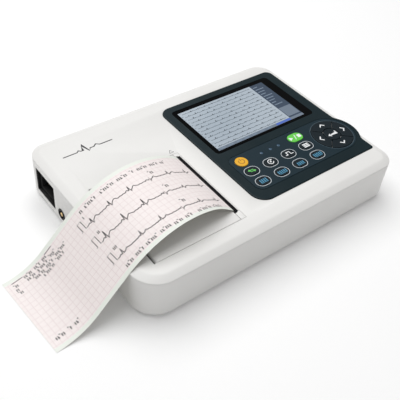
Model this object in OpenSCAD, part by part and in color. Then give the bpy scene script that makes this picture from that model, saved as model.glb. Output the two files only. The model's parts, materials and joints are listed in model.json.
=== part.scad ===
// Portable ECG machine with an 80 mm strip printer, console panel and keys. Millimetres, +X right, +Y back, +Z up.
// The origin is under the middle of the whole object, printed strip included, on the surface that it stands on.

/* [Case] */
// Width of the case, left to right
case_w = 280; // [270:1:340]
// Depth of the case, front to back
case_d = 193; // [185:1:235]
// Height of the case without its feet
case_h = 42; // [41:1:52]
// Radius of the upright corner at the front left
corner_front_left = 24.5; // [12:0.5:30]
// Radius of the other upright corners
corner_r = 16.5; // [12:0.5:18]
// Width of the sloping band round the top
band_w = 7; // [4:0.5:8]
// Height of the sloping band
band_h = 4; // [3:0.5:6]
// Wall thickness of both case shells
wall = 2.5; // [2:0.1:3]
// Height of the feet under the case
foot_h = 2.5; // [1.5:0.5:5]

/* [Printer door] */
// Distance from the case's left face to the hinge axis
hinge_in = 24.5; // [20:0.5:30]
// Length of the door from hinge axis to its free edge
door_len = 79.5; // [76:0.5:90]
// Width of the door along the hinge
door_w = 96; // [94:0.5:104]
// Middle of the door, in front of the case's middle
door_forward = 29; // [26:0.5:34]
// Thickness of the door plate
door_t = 2.5; // [2:0.1:3]
// Radius of the hinge barrel
barrel_r = 4; // [3.5:0.1:4.5]
// Gap between the door's free edge and the case
slot_w = 3; // [2.8:0.1:3.6]
// Seam round the other sides of the door
seam = 0.4; // [0.3:0.1:0.8]

/* [Paper] */
// Width of the paper
paper_w = 80; // [70:0.5:81]
// Thickness of the printed strip
paper_t = 0.3; // [0.2:0.05:0.4]
// Outer radius of the paper roll
roll_r = 15.5; // [10:0.5:16]
// Distance from the platen axis back to the roll axis
roll_back = 39; // [37:0.5:42]
// Turn of the strip towards the front, in degrees
strip_yaw = 4; // [0:0.5:6]
// Radius of the arch over the door
arch_r = 84; // [70:1:95]
// Radius of the curve that meets the table
landing_r = 55; // [45:1:80]
// Steepest fall of the strip, in degrees
strip_fall = 43; // [38:1:55]

/* [Printer] */
// Radius of the platen's rubber
platen_r = 6; // [5.5:0.1:6.2]
// Depth of the platen axis below the top of the case
platen_down = 10; // [9.5:0.1:12]
// Radius of the platen shaft
shaft_r = 2.5; // [2:0.1:2.6]
// Gear module
gear_module = 0.6; // [0.5:0.05:0.6]
// Teeth on the platen gear
platen_teeth = 20; // [20:4:20]
// Teeth on the idler gear
idler_teeth = 28; // [24:4:28]
// Teeth on the motor pinion
pinion_teeth = 12; // [12:2:14]
// Radius of the stepper motor
motor_r = 10; // [8:0.5:10.5]

/* [Console] */
// Width of the console panel
panel_w = 142.4; // [138:0.2:150]
// Depth of the console panel
panel_d = 151; // [148:1:160]
// Distance from the panel's right edge to the case's right face
panel_in = 7.4; // [6:0.2:10]
// Middle of the panel, behind the case's middle
panel_back = 2.6; // [0:0.2:5]
// Thickness of the console panel
panel_t = 2; // [1.6:0.1:2.4]
// Height of the panel above the case
panel_proud = 1; // [0.6:0.1:1.4]
// Width of the display's lit area
screen_w = 108; // [100:0.5:110]
// Depth of the display's lit area
screen_d = 64.8; // [60:0.2:68]
// Radius of the navigation pad
nav_r = 20.6; // [18:0.2:21]

/* [Keys] */
// Spacing of the small keys, left to right
key_pitch = 22.3; // [20:0.1:24]
// Spacing of the key rows
row_pitch = 15.2; // [14:0.1:16]
// Length of a small key
key_l = 13.6; // [11:0.1:15]
// Depth of a small key
key_d = 9.6; // [8:0.1:11]
// Height of the keys above the panel
key_proud = 0.8; // [0.7:0.1:1.5]
// Travel of the keys
key_travel = 0.7; // [0.4:0.1:0.7]

/* [Hidden] */
$fn = 64;

// Fits
play = 0.3;            // gap between pieces that only lie beside each other
running = 0.06;        // radial clearance of a shaft in its bearing
side_play = 0.4;       // end play beside a turning piece
thin = 0.01;           // overlap that joins cutters cleanly
edge = 0.3;            // upright edge above and below the sloping band
past = 1;              // how far a cutter runs past the face it cuts

lip_t = 1.2;           // lip of the upper shell inside the lower one
lip_in = wall + play / 2 + lip_t;
lip_h = 3;

// Heights
base_z = foot_h;
top_z = foot_h + case_h;
seam_z = top_z - band_h;
floor_z = base_z + wall;
panel_z = top_z + panel_proud;
panel_low = panel_z - panel_t;

// Paper path, measured from the case's left face (x) and the table (z)
hinge_z = top_z - barrel_r;
door_edge = hinge_in + door_len;
opening_right = door_edge + slot_w;
web_gap = 0.1;
web_r = platen_r + web_gap + paper_t / 2;
paper_x = door_edge + slot_w * 0.4;
platen_x = paper_x - web_r;
platen_z = top_z - platen_down;
roll_x = platen_x - roll_back;
tray_t = 1.5;
roll_z = floor_z + play + tray_t + 1 + roll_r;
roll_web_r = roll_r + web_gap + paper_t / 2;
web_angle = atan2(platen_z - roll_z, roll_back)
    + asin((roll_web_r - web_r) / norm([roll_back, platen_z - roll_z]));
turn_r = 3;                     // bend of the strip over the door's edge
exit_angle = 38;                // slope of the strip as it leaves the slot
exit_z = top_z - 1.3;
arch_x = paper_x - turn_r * (1 - cos(90 - exit_angle));
arch_z = exit_z + turn_r * sin(90 - exit_angle);
landed_z = paper_t / 2 + 0.15;
straight = (arch_z - arch_r * (cos(exit_angle) - cos(strip_fall)) - landing_r * (1 - cos(strip_fall))
    - landed_z) / sin(strip_fall);
arch_run = arch_r * (sin(exit_angle) + sin(strip_fall));
fall_run = straight * cos(strip_fall);
landing_run = landing_r * sin(strip_fall);
strip_run = arch_run + fall_run + landing_run;
yaw_run = 30;                   // the strip takes up its turn over this run
paper_y = -26.6;

function yaw_at(run) = let (k = min(max(run / yaw_run, 0), 1)) strip_yaw * k * k * (3 - 2 * k);
function angles(from, to, steps) = [for (i = [0:steps]) from + (to - from) * i / steps];

// Side view of the strip as [run, z]: run is the distance along the table from the bend at the slot
arch_line = [for (a = angles(exit_angle, -strip_fall, 22))
    [arch_r * (sin(exit_angle) - sin(a)), arch_z + arch_r * (cos(a) - cos(exit_angle))]];
landing_line = [for (a = angles(strip_fall, 0, 10))
    [arch_run + fall_run + landing_r * (sin(strip_fall) - sin(a)), landed_z + landing_r * (1 - cos(a))]];
free_line = concat(arch_line, landing_line);

// The same line as [x, y, z, yaw], carried along its own heading
function walk(line, i = 0, x = arch_x, y = paper_y) =
    i == len(line) ? [] :
    let (
        yaw = yaw_at(line[i][0]),
        step = i == 0 ? 0 : line[i][0] - line[i - 1][0],
        nx = x - step * cos(yaw),
        ny = y - step * sin(yaw)
    )
    concat([[nx, ny, line[i][1], yaw]], walk(line, i + 1, nx, ny));

web_line = concat(
    [[roll_x + roll_web_r * sin(web_angle), roll_z - roll_web_r * cos(web_angle)]],
    [for (a = angles(web_angle, 90, 8)) [platen_x + web_r * sin(a), platen_z - web_r * cos(a)]],
    [for (a = angles(0, 90 - exit_angle, 6)) if (a < 90 - exit_angle)
        [paper_x - turn_r * (1 - cos(a)), exit_z + turn_r * sin(a)]]
);
strip_line = concat([for (p = web_line) [p[0], paper_y, p[1], 0]], walk(free_line));
strip_end = strip_line[len(strip_line) - 1];
strip_reach = paper_w / 2 * sin(strip_end[3]) - strip_end[0];

// Where the case's left face lies in the part's frame
left_x = (strip_reach - case_w) / 2;
right_x = left_x + case_w;
front_y = -case_d / 2;
back_y = case_d / 2;
door_y = -door_forward;
door_y0 = door_y - door_w / 2;
door_y1 = door_y + door_w / 2;

// Stations across the printer, from its front end to its back end
rubber_extra = 0.5;
plate_t = 1.2;
ear_t = 1.8;
gear_w = 3.3;
rubber_y0 = paper_y - paper_w / 2 - rubber_extra;
rubber_y1 = paper_y + paper_w / 2 + rubber_extra;
ear_y0 = rubber_y0 - side_play - ear_t;
ear_y1 = rubber_y1 + side_play;
plate_y0 = ear_y0 - side_play - plate_t;
plate_y1 = ear_y1 + ear_t + side_play;
catch_y0 = plate_y0 - plate_t;
catch_y1 = plate_y1 + plate_t;
gear_y = catch_y0 - side_play - gear_w;
shaft_y0 = gear_y - side_play;
shaft_y1 = catch_y1 + plate_t + play / 2;
motor_plate_y = gear_y - side_play - 2 * plate_t;

// Gear train under the platen gear
mesh_play = 0.15;
platen_pitch_r = gear_module * platen_teeth / 2;
idler_pitch_r = gear_module * idler_teeth / 2;
pinion_pitch_r = gear_module * pinion_teeth / 2;
idler_z = platen_z - platen_pitch_r - idler_pitch_r - mesh_play;
pinion_x = platen_x + idler_pitch_r + pinion_pitch_r + mesh_play;
idler_axle_r = 1.5;
motor_shaft_r = 1;

// Console panel and keys
panel_x1 = right_x - panel_in;
panel_x0 = panel_x1 - panel_w;
panel_y0 = panel_back - panel_d / 2;
panel_y1 = panel_back + panel_d / 2;
panel_cx = (panel_x0 + panel_x1) / 2;
ledge = 4;                       // shelf of the case that carries the panel
nav_x = panel_x1 - 21;
nav_y = panel_y0 + 34.7;
lobe_r = 28;
panel_radii = [14, 2, 7, 11];     // front left, front right, back right, back left
key_x = panel_x0 + 20.4;
row_2_y = panel_y0 + 35.6;
row_3_y = row_2_y - row_pitch;
row_1_y = panel_y0 + 50;
start_x = key_x + 3 * key_pitch - 0.5;
key_gap = 0.25;                  // clearance between a key and its hole
flange = 0.8;                    // rim that keeps a key in
power_r = 6.2;
start_l = 17;
start_d = 11;
enter_r = 8.4;
nav_gap = 0.5;
key_top = panel_z + key_proud;
flange_top = panel_low - 0.2;
flange_t = 0.8;
board_t = 1.6;
dome_h = 0.3;
dome_r = 3;
plunger_r = 2;
board_top = flange_top - flange_t - key_travel - dome_h - 0.5;
board_z = board_top - board_t;
plunger_low = board_top + dome_h + key_travel + 0.1;
small_keys = [for (row = [0, 1], i = [0:3]) [key_x + i * key_pitch, row == 0 ? row_2_y : row_3_y]];
nav_turn = [90, 0, -90, 180];    // up, right, down, left
nav_mid_r = (nav_r + enter_r + nav_gap) / 2;

// Display
screen_x = panel_x0 + 13.3;
screen_y = panel_y1 - 78.1;
glass_left = 4.5;
glass_right = 10;
glass_front = 3.5;
glass_back = 5.2;
glass_w = screen_w + glass_left + glass_right;
glass_d = screen_d + glass_front + glass_back;
glass_t = 1.1;
glass_x = screen_x - glass_left;
glass_y = screen_y - glass_front;
glass_play = 0.15;
lcd_rim = 6;
lcd_t = 3.5;

// Inside the case
mains_y = front_y + 159;
mains_w = 33;
mains_h = 25.6;
mains_z = foot_h + 19.2;
mains_deep = 28;
inlet_face = 3;
inlet_rim = 0.9;
socket_w = 24.6;
socket_h = 16.8;
socket_deep = 17;
earth_y = front_y + 130.5;
earth_z = foot_h + 11;
earth_r = 5.5;
boss_r = 4;
boss_split = 24;
screw_r = 1.5;
screw_head_r = 2.8;
boss_in = 9.5;
boss_xs = [left_x + 34, panel_x0 - 2, right_x - 15];
boss_y = case_d / 2 - boss_in;
foot_r = 7;
foot_in = 24;
foot_sunk = 0.5;
battery_w = 72;
battery_d = 50;
battery_h = 20;
battery_x = panel_x0 + 9;
battery_y = front_y + 12;
cover_t = 2;
cover_rim = 4;
main_x0 = panel_x0 + 3;
main_x1 = right_x - 20;
main_y0 = battery_y + battery_d + 6;
main_y1 = back_y - wall - 4;
main_z = floor_z + 4;
supply_x0 = left_x + wall + mains_deep + 6;
supply_x1 = panel_x0 - 14;
supply_y0 = door_y1 + 12;
supply_y1 = back_y - wall - boss_in - 6;
supply_h = 26;
speaker_r = 14;
speaker_x = right_x - 34;
speaker_y = front_y + 34;
patient_y = 28;
patient_z = foot_h + 21;
patient_w = 39.2;
patient_h = 12.6;
jack_pitch = 33.3;
usb_x = panel_x0 + 66;
usb_w = 13.2;
usb_h = 6;
net_x = panel_x0 + 98;
net_w = 16;
net_h = 13.2;
port_deep = 16;

// ---- shared shapes ----

// Rectangle between two corners, rounded by its own radii: front left, front right, back right, back left
module rounded(low, high, radii) {
    corners = [[low[0], low[1], 1, 1], [high[0], low[1], -1, 1],
        [high[0], high[1], -1, -1], [low[0], high[1], 1, -1]];
    difference() {
        translate(low) square(high - low);
        for (i = [0:3]) {
            c = corners[i];
            r = radii[i];
            translate([c[0], c[1]]) difference() {
                translate([c[2] < 0 ? -r : -thin, c[3] < 0 ? -r : -thin]) square(r + thin);
                translate([c[2] * r, c[3] * r]) circle(r);
            }
        }
    }
}

// A slab of the case's own outline, drawn in by inset, between two heights
module case_slab(inset, low, high) {
    r = corner_r - inset;
    translate([0, 0, low]) linear_extrude(high - low)
        rounded([left_x + inset, front_y + inset], [right_x - inset, back_y - inset],
            [corner_front_left - inset, r, r, r]);
}

// Box between two corners
module block(low, high) {
    translate(low) cube(high - low);
}

// Bar with round ends along X, centred on the origin
module pill(l, d, h) {
    block([-(l - d) / 2, -d / 2, 0], [(l - d) / 2, d / 2, h]);
    for (s = [-1, 1]) translate([s * (l - d) / 2, 0, 0]) cylinder(h = h, d = d);
}

// Cylinder along +Y
module along_y(r, y0, y1) {
    translate([0, y0, 0]) rotate([-90, 0, 0]) cylinder(h = y1 - y0, r = r);
}

// Cylinder along +X
module along_x(r, x0, x1) {
    translate([x0, 0, 0]) rotate([0, 90, 0]) cylinder(h = x1 - x0, r = r);
}

// Spur gear in the XZ plane, thickness along +Y, with one tooth pointing along the angle "first"
module spur(teeth, width, bore, first) {
    pitch_r = gear_module * teeth / 2;
    tip_r = pitch_r + 0.9 * gear_module;
    root_r = pitch_r - 1.15 * gear_module;
    step = 360 / teeth;
    rim = [for (i = [0:teeth - 1], c = [[-0.33, root_r], [-0.1, tip_r], [0.1, tip_r], [0.33, root_r]])
        let (a = first + (i + c[0]) * step) [c[1] * cos(a), c[1] * sin(a)]];
    translate([0, width, 0]) rotate([90, 0, 0]) difference() {
        linear_extrude(width) polygon(rim);
        translate([0, 0, -past]) cylinder(h = width + 2 * past, r = bore);
    }
}

// Outline of the console panel, drawn in by inset, with the lobe round the navigation pad
module panel_outline(inset) {
    rounded([panel_x0 + inset, panel_y0 + inset], [panel_x1 - inset, panel_y1 - inset],
        [for (r = panel_radii) max(r - inset, 0.5)]);
    translate([nav_x, nav_y]) circle(lobe_r - inset);
}

// ---- case ----

module top_case() {
    color([0.94, 0.935, 0.925]) difference() {
        union() {
            difference() {
                hull() {
                    case_slab(0, seam_z, seam_z + edge);
                    case_slab(band_w, top_z - edge, top_z);
                }
                hull() {
                    case_slab(lip_in, seam_z - edge, seam_z);
                    case_slab(band_w + wall / 2, top_z - wall - edge, top_z - wall);
                }
            }
            panel_lobe();
            seam_lip();
            hinge_ears();
            for (x = boss_xs, s = [-1, 1]) translate([x, s * boss_y, boss_split])
                cylinder(h = top_z - wall / 2 - boss_split, r = boss_r);
        }
        door_opening();
        translate([0, 0, panel_low]) linear_extrude(panel_t + past) panel_outline(-play / 2);
        translate([0, 0, seam_z - past]) linear_extrude(case_h) panel_outline(ledge);
        tear_rebate(play / 2);
        for (x = boss_xs, s = [-1, 1]) translate([x, s * boss_y, boss_split - past])
            cylinder(h = 10, r = screw_r);
    }
}

// Raised edge of the case that carries the panel's lobe
module panel_lobe() {
    intersection() {
        translate([nav_x, nav_y, seam_z]) cylinder(h = band_h, r = lobe_r + play);
        case_slab(play, seam_z, top_z);
    }
}

// Lip of the upper shell that drops inside the lower one
module seam_lip() {
    difference() {
        case_slab(wall + play / 2, seam_z - lip_h, seam_z + edge);
        case_slab(lip_in, seam_z - lip_h - past, seam_z + edge + past);
    }
}

module door_opening() {
    block([left_x + hinge_in - barrel_r - 1.5, door_y0 - seam, seam_z - past],
        [left_x + opening_right, door_y1 + seam, top_z + past]);
}

// Ears under the case's top, at both ends of the hinge barrel
module hinge_ears() {
    ear = 2.5;
    for (y = [door_y0 - seam - ear, door_y1 + seam]) difference() {
        block([left_x + hinge_in - barrel_r, y, hinge_z - barrel_r],
            [left_x + hinge_in + barrel_r, y + ear, top_z - wall / 2]);
        translate([left_x + hinge_in, 0, hinge_z]) along_y(pin_r + running, y - past, y + ear + past);
    }
}

module bottom_case() {
    soft = 3;
    color([0.90, 0.895, 0.885]) difference() {
        union() {
            difference() {
                hull() {
                    case_slab(soft, base_z, base_z + edge);
                    case_slab(soft * 0.3, base_z + soft * 0.3, base_z + soft * 0.3 + edge);
                    case_slab(0, base_z + soft, seam_z);
                }
                case_slab(wall, floor_z, seam_z + past);
            }
            for (x = boss_xs, s = [-1, 1]) translate([x, s * boss_y, base_z + wall / 2])
                cylinder(h = boss_split - base_z - wall / 2, r = boss_r);
            for (x = [main_x0 + 4, main_x1 - 4], y = [main_y0 + 4, main_y1 - 12])
                translate([x, y, base_z + wall / 2]) cylinder(h = main_z - base_z - wall / 2, r = 3);
            battery_walls();
        }
        for (x = boss_xs, s = [-1, 1]) translate([x, s * boss_y, base_z - past]) {
            cylinder(h = boss_split, r = screw_r + 0.1);
            cylinder(h = past + 2.2, r = screw_head_r + 0.2);
        }
        for (x = [left_x + foot_in, right_x - foot_in], y = [front_y + foot_in, back_y - foot_in])
            translate([x, y, base_z - past]) cylinder(h = past + foot_sunk, r = foot_r + 0.1);
        block([left_x - past, mains_y - mains_w / 2, mains_z - mains_h / 2],
            [left_x + wall + past, mains_y + mains_w / 2, mains_z + mains_h / 2]);
        translate([0, earth_y, earth_z]) along_x(earth_r, left_x - past, left_x + wall + past);
        block([right_x - wall - past, patient_y - patient_w / 2, patient_z - patient_h / 2],
            [right_x + past, patient_y + patient_w / 2, patient_z + patient_h / 2]);
        port_hole(usb_x, usb_w, usb_h);
        port_hole(net_x, net_w, net_h);
        cover_cut(0.2);
        speaker_slots();
    }
}

// Walls round the battery, standing on the floor of the lower shell
module battery_walls() {
    t = 1.2;
    low = [battery_x - t, battery_y - t, base_z + wall / 2];
    difference() {
        block(low, [battery_x + battery_w + t, battery_y + battery_d + t, floor_z + 12]);
        block([battery_x, battery_y, base_z],
            [battery_x + battery_w, battery_y + battery_d, floor_z + 12 + past]);
    }
}

module port_hole(x, w, h) {
    block([x - w / 2, back_y - wall - past, main_z + board_t],
        [x + w / 2, back_y + past, main_z + board_t + h]);
}

module cover_cut(gap) {
    block([battery_x - cover_rim - gap, battery_y - cover_rim - gap, base_z - past],
        [battery_x + battery_w + cover_rim + gap, battery_y + battery_d + cover_rim + gap, base_z + cover_t / 2]);
    block([battery_x, battery_y, base_z - past],
        [battery_x + battery_w, battery_y + battery_d, floor_z + past]);
}

module speaker_slots() {
    for (i = [-3:3]) translate([speaker_x + i * 3.2, speaker_y, base_z - past])
        rotate([0, 0, 90]) pill(20 - abs(i) * 3, 1.4, wall + 2 * past);
}

module console_panel() {
    color([0.10, 0.17, 0.21]) difference() {
        union() {
            translate([0, 0, panel_low]) linear_extrude(panel_t) panel_outline(0);
            for (p = board_posts()) translate([p[0], p[1], board_top])
                cylinder(h = panel_low + panel_t / 2 - board_top, r = 1.8);
        }
        block([glass_x - glass_play, glass_y - glass_play, panel_z - glass_t],
            [glass_x + glass_w + glass_play, glass_y + glass_d + glass_play, panel_z + past]);
        block([screen_x - 1, screen_y - 1, panel_low - past],
            [screen_x + screen_w + 1, screen_y + screen_d + 1, panel_z]);
        key_holes();
        light_holes();
    }
}

function board_posts() = [
    [panel_x0 + 9, panel_y0 + 12], [panel_x0 + 9, row_1_y],
    [panel_x1 - 8, panel_y0 + 8], [panel_x1 - 46, panel_y0 + 10]
];

module key_holes() {
    low = panel_low - past;
    high = panel_t + 2 * past;
    translate([key_x, row_1_y, low]) cylinder(h = high, r = power_r + key_gap);
    translate([start_x, row_1_y, low]) pill(start_l + 2 * key_gap, start_d + 2 * key_gap, high);
    for (k = small_keys) translate([k[0], k[1], low]) pill(key_l + 2 * key_gap, key_d + 2 * key_gap, high);
    translate([nav_x, nav_y, low]) cylinder(h = high, r = nav_r + key_gap);
}

light_xs = [key_x + 24, key_x + 35, key_x + 45];
light_r = 1.6;

module light_holes() {
    for (x = light_xs) translate([x, row_1_y, panel_low - past]) cylinder(h = panel_t + 2 * past, r = light_r + 0.05);
}

module indicator_lights() {
    color([0.75, 0.85, 0.95]) for (x = light_xs) translate([x, row_1_y, board_top])
        cylinder(h = panel_z - board_top, r = light_r);
}

module display_glass() {
    color([0.05, 0.06, 0.07]) block([glass_x, glass_y, panel_z - glass_t], [glass_x + glass_w, glass_y + glass_d, panel_z]);
}

module lcd_module() {
    color([0.62, 0.70, 0.78]) {
        block([screen_x - lcd_rim, screen_y - lcd_rim, panel_low - lcd_t],
            [screen_x + screen_w + lcd_rim, screen_y + screen_d + lcd_rim, panel_low]);
        block([screen_x, screen_y, panel_low - lcd_t],
            [screen_x + screen_w, screen_y + screen_d, panel_low + 0.4]);
    }
}

module keypad_board() {
    color([0.10, 0.35, 0.20]) difference() {
        block([panel_x0 + 5, panel_y0 + 5, board_z], [panel_x1 - 5, row_1_y + 8.5, board_top]);
        for (p = board_posts()) translate([p[0], p[1], board_z - past]) cylinder(h = board_t + 2 * past, r = 0.8);
    }
}

function dome_places() = concat(
    [[key_x, row_1_y], [start_x, row_1_y]],
    small_keys,
    [[nav_x, nav_y]],
    [for (a = nav_turn) [nav_x + nav_mid_r * cos(a), nav_y + nav_mid_r * sin(a)]]
);

module key_domes() {
    color([0.75, 0.76, 0.78]) for (p = dome_places()) translate([p[0], p[1], board_top])
        cylinder(h = dome_h, r = dome_r);
}

// ---- keys ----

// Rim and plunger under a key cap, centred on the key
module plunger() {
    translate([0, 0, plunger_low]) cylinder(h = flange_top - plunger_low, r = plunger_r);
}

module pill_key(l, d) {
    translate([0, 0, flange_top - flange_t]) {
        pill(l + 2 * flange, d + 2 * flange, flange_t);
        pill(l, d, key_top - flange_top + flange_t);
    }
    plunger();
}

module small_key(i) {
    color([0.13, 0.20, 0.25]) translate([small_keys[i][0], small_keys[i][1], 0]) pill_key(key_l, key_d);
}

module power_key() {
    color([0.96, 0.69, 0.12]) translate([key_x, row_1_y, 0]) pill_key(2 * power_r, 2 * power_r - thin);
}

module start_key() {
    color([0.39, 0.84, 0.31]) translate([start_x, row_1_y, 0]) pill_key(start_l, start_d);
}

module enter_key() {
    color([0.13, 0.20, 0.25]) translate([nav_x, nav_y, 0]) {
        translate([0, 0, flange_top - flange_t]) cylinder(h = key_top - flange_top + flange_t, r = enter_r);
        plunger();
    }
}

module nav_key(turn) {
    slit = nav_gap / nav_r * 180 / PI;
    inner = enter_r + nav_gap;
    color([0.13, 0.20, 0.25]) translate([nav_x, nav_y, 0]) rotate([0, 0, turn - 45 + slit / 2]) {
        rotate_extrude(angle = 90 - slit) {
            translate([inner, flange_top - flange_t]) square([nav_r - inner, key_top - flange_top + flange_t]);
            translate([nav_r - 1, flange_top - flange_t]) square([1 + flange, flange_t]);
        }
        rotate([0, 0, 45 - slit / 2]) translate([nav_mid_r, 0, 0]) plunger();
    }
}

// ---- display side electronics, power, sockets ----

module main_board() {
    color([0.08, 0.30, 0.17]) block([main_x0, main_y0, main_z], [main_x1, main_y1, main_z + board_t]);
    color([0.12, 0.12, 0.13]) for (c = [[30, 30, 18, 4], [62, 24, 14, 3], [30, 62, 22, 5], [88, 40, 12, 8]])
        block([main_x0 + c[0], main_y0 + c[1], main_z + board_t],
            [main_x0 + c[0] + c[2], main_y0 + c[1] + c[2] * 0.8, main_z + board_t + c[3]]);
}

module power_supply() {
    color([0.72, 0.73, 0.75]) block([supply_x0, supply_y0, floor_z + play],
        [supply_x1, supply_y1, floor_z + play + supply_h]);
}

module battery_pack() {
    color([0.20, 0.35, 0.62]) block([battery_x + play, battery_y + play, base_z + cover_t + play],
        [battery_x + battery_w - play, battery_y + battery_d - play, base_z + cover_t + play + battery_h]);
}

module battery_cover() {
    color([0.90, 0.895, 0.885]) {
        block([battery_x - cover_rim, battery_y - cover_rim, base_z],
            [battery_x + battery_w + cover_rim, battery_y + battery_d + cover_rim, base_z + cover_t / 2]);
        block([battery_x + play, battery_y + play, base_z],
            [battery_x + battery_w - play, battery_y + battery_d - play, base_z + cover_t]);
    }
}

module mains_inlet() {
    x0 = left_x + inlet_face;
    color([0.05, 0.05, 0.055]) difference() {
        union() {
            block([left_x + wall, mains_y - mains_w / 2 - inlet_rim, mains_z - mains_h / 2 - inlet_rim],
                [left_x + wall + 2, mains_y + mains_w / 2 + inlet_rim, mains_z + mains_h / 2 + inlet_rim]);
            block([left_x + 0.4, mains_y - mains_w / 2 + 0.2, mains_z - mains_h / 2 + 0.2],
                [left_x + mains_deep, mains_y + mains_w / 2 - 0.2, mains_z + mains_h / 2 - 0.2]);
        }
        block([left_x - past, mains_y - mains_w / 2 + 1.4, mains_z - mains_h / 2 + 1.4],
            [x0, mains_y + mains_w / 2 - 1.4, mains_z + mains_h / 2 - 1.4]);
        inlet_socket();
    }
}

// D-shaped cavity of the inlet, with its two upper corners cut off
module inlet_socket() {
    c = 5;
    w = socket_w / 2;
    h = socket_h / 2;
    translate([left_x + inlet_face - past, mains_y, mains_z]) rotate([90, 0, 90])
        linear_extrude(socket_deep + past)
            polygon([[-w, -h], [w, -h], [w, h - c], [w - c, h], [c - w, h], [-w, h - c]]);
}

module inlet_blades() {
    color([0.80, 0.72, 0.45]) for (b = [[-7, -2], [0, 2], [7, -2]])
        block([left_x + inlet_face + 3.5, mains_y + b[0] - 1, mains_z + b[1] - 2],
            [left_x + inlet_face + socket_deep, mains_y + b[0] + 1, mains_z + b[1] + 2]);
}

earth_pin_r = 2;

module earth_socket() {
    color([0.05, 0.05, 0.055]) translate([0, earth_y, earth_z]) difference() {
        union() {
            along_x(earth_r, left_x - 0.6, left_x + wall);
            along_x(earth_r + 1.5, left_x + wall, left_x + wall + 3);
        }
        along_x(earth_r - 1.6, left_x - past, left_x + wall - 0.5);
        along_x(earth_pin_r, left_x - past, left_x + wall + 3 + past);
    }
}

module earth_pin() {
    color([0.85, 0.72, 0.42]) translate([0, earth_y, earth_z]) {
        along_x(earth_pin_r, left_x - 0.4, left_x + wall + 9);
        along_x(earth_pin_r + 1.4, left_x + wall + 3, left_x + wall + 5);
    }
}

module patient_socket() {
    color([0.70, 0.71, 0.73]) difference() {
        union() {
            block([right_x - wall - 11, patient_y - patient_w / 2 - 1, patient_z - patient_h / 2 - 1],
                [right_x - wall, patient_y + patient_w / 2 + 1, patient_z + patient_h / 2 + 1]);
            translate([right_x - wall - past, patient_y, patient_z]) rotate([90, 0, 90])
                linear_extrude(wall + past + 4) polygon([[-11.5, -4], [11.5, -4], [12.8, 4], [-12.8, 4]]);
            block([right_x - wall, patient_y - patient_w / 2 + 0.1, patient_z - patient_h / 2 + 0.1],
                [right_x - 1, patient_y + patient_w / 2 - 0.1, patient_z + patient_h / 2 - 0.1]);
        }
        for (i = [0:7]) translate([0, patient_y + (i - 3.5) * 2.77, patient_z + 1.4])
            along_x(0.6, right_x - 5, right_x + 6);
        for (i = [0:6]) translate([0, patient_y + (i - 3) * 2.77, patient_z - 1.4])
            along_x(0.6, right_x - 5, right_x + 6);
        for (s = [-1, 1]) translate([0, patient_y + s * jack_pitch / 2, patient_z])
            along_x(1.5, right_x - wall - 8, right_x + past);
    }
}

module socket_jackscrews() {
    color([0.78, 0.78, 0.80]) for (s = [-1, 1]) translate([0, patient_y + s * jack_pitch / 2, patient_z])
        difference() {
            union() {
                along_x(1.5, right_x - wall - 8, right_x - 1);
                translate([right_x - 1, 0, 0]) rotate([0, 90, 0]) cylinder(h = 4.5, r = 2.7, $fn = 6);
            }
            along_x(1.1, right_x - 1, right_x + 5);
        }
}

module usb_port() {
    low = main_z + board_t;
    color([0.75, 0.76, 0.78]) difference() {
        block([usb_x - usb_w / 2 + 0.2, back_y - port_deep, low], [usb_x + usb_w / 2 - 0.2, back_y + 0.4, low + usb_h - 0.2]);
        block([usb_x - usb_w / 2 + 0.8, back_y - port_deep + 2, low + 0.6], [usb_x + usb_w / 2 - 0.8, back_y + past, low + usb_h - 0.8]);
    }
    color([0.92, 0.92, 0.92]) block([usb_x - 5, back_y - port_deep + 1, low + 2.6], [usb_x + 5, back_y - 1.5, low + 4.2]);
}

module network_port() {
    low = main_z + board_t;
    color([0.78, 0.79, 0.80]) difference() {
        block([net_x - net_w / 2 + 0.2, back_y - port_deep, low], [net_x + net_w / 2 - 0.2, back_y + 0.4, low + net_h - 0.2]);
        block([net_x - 5.9, back_y - 12, low + 2.2], [net_x + 5.9, back_y + past, low + 9]);
        block([net_x - 3.2, back_y - 12, low + 8], [net_x + 3.2, back_y + past, low + 11.4]);
    }
}

module speaker() {
    color([0.16, 0.16, 0.17]) translate([speaker_x, speaker_y, floor_z]) {
        difference() {
            cylinder(h = 5, r = speaker_r);
            translate([0, 0, -past]) cylinder(h = past + 1.2, r = speaker_r - 2);
        }
        cylinder(h = 9, r = speaker_r * 0.45);
    }
}

module feet() {
    color([0.12, 0.12, 0.13])
        for (x = [left_x + foot_in, right_x - foot_in], y = [front_y + foot_in, back_y - foot_in])
            translate([x, y, 0]) cylinder(h = foot_h + foot_sunk, r = foot_r);
}

module case_screws() {
    color([0.72, 0.73, 0.75]) for (x = boss_xs, s = [-1, 1]) translate([x, s * boss_y, base_z + 0.4])
        difference() {
            union() {
                cylinder(h = 1.8, r = screw_head_r);
                cylinder(h = boss_split + 7 - base_z, r = screw_r);
            }
            translate([0, 0, -past]) cylinder(h = past + 1, r = 1.2, $fn = 6);
        }
}

// ---- printer, fixed pieces ----

chassis_z = floor_z + play;
slot_r = shaft_r + 0.6;
chassis_x0 = platen_x - 12;
spring_wall_x = platen_x + platen_r + 13;
head_gap = 0.7;
head_x = platen_x + platen_r + head_gap;
head_t = 1.2;
sink_t = 3.4;

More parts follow.
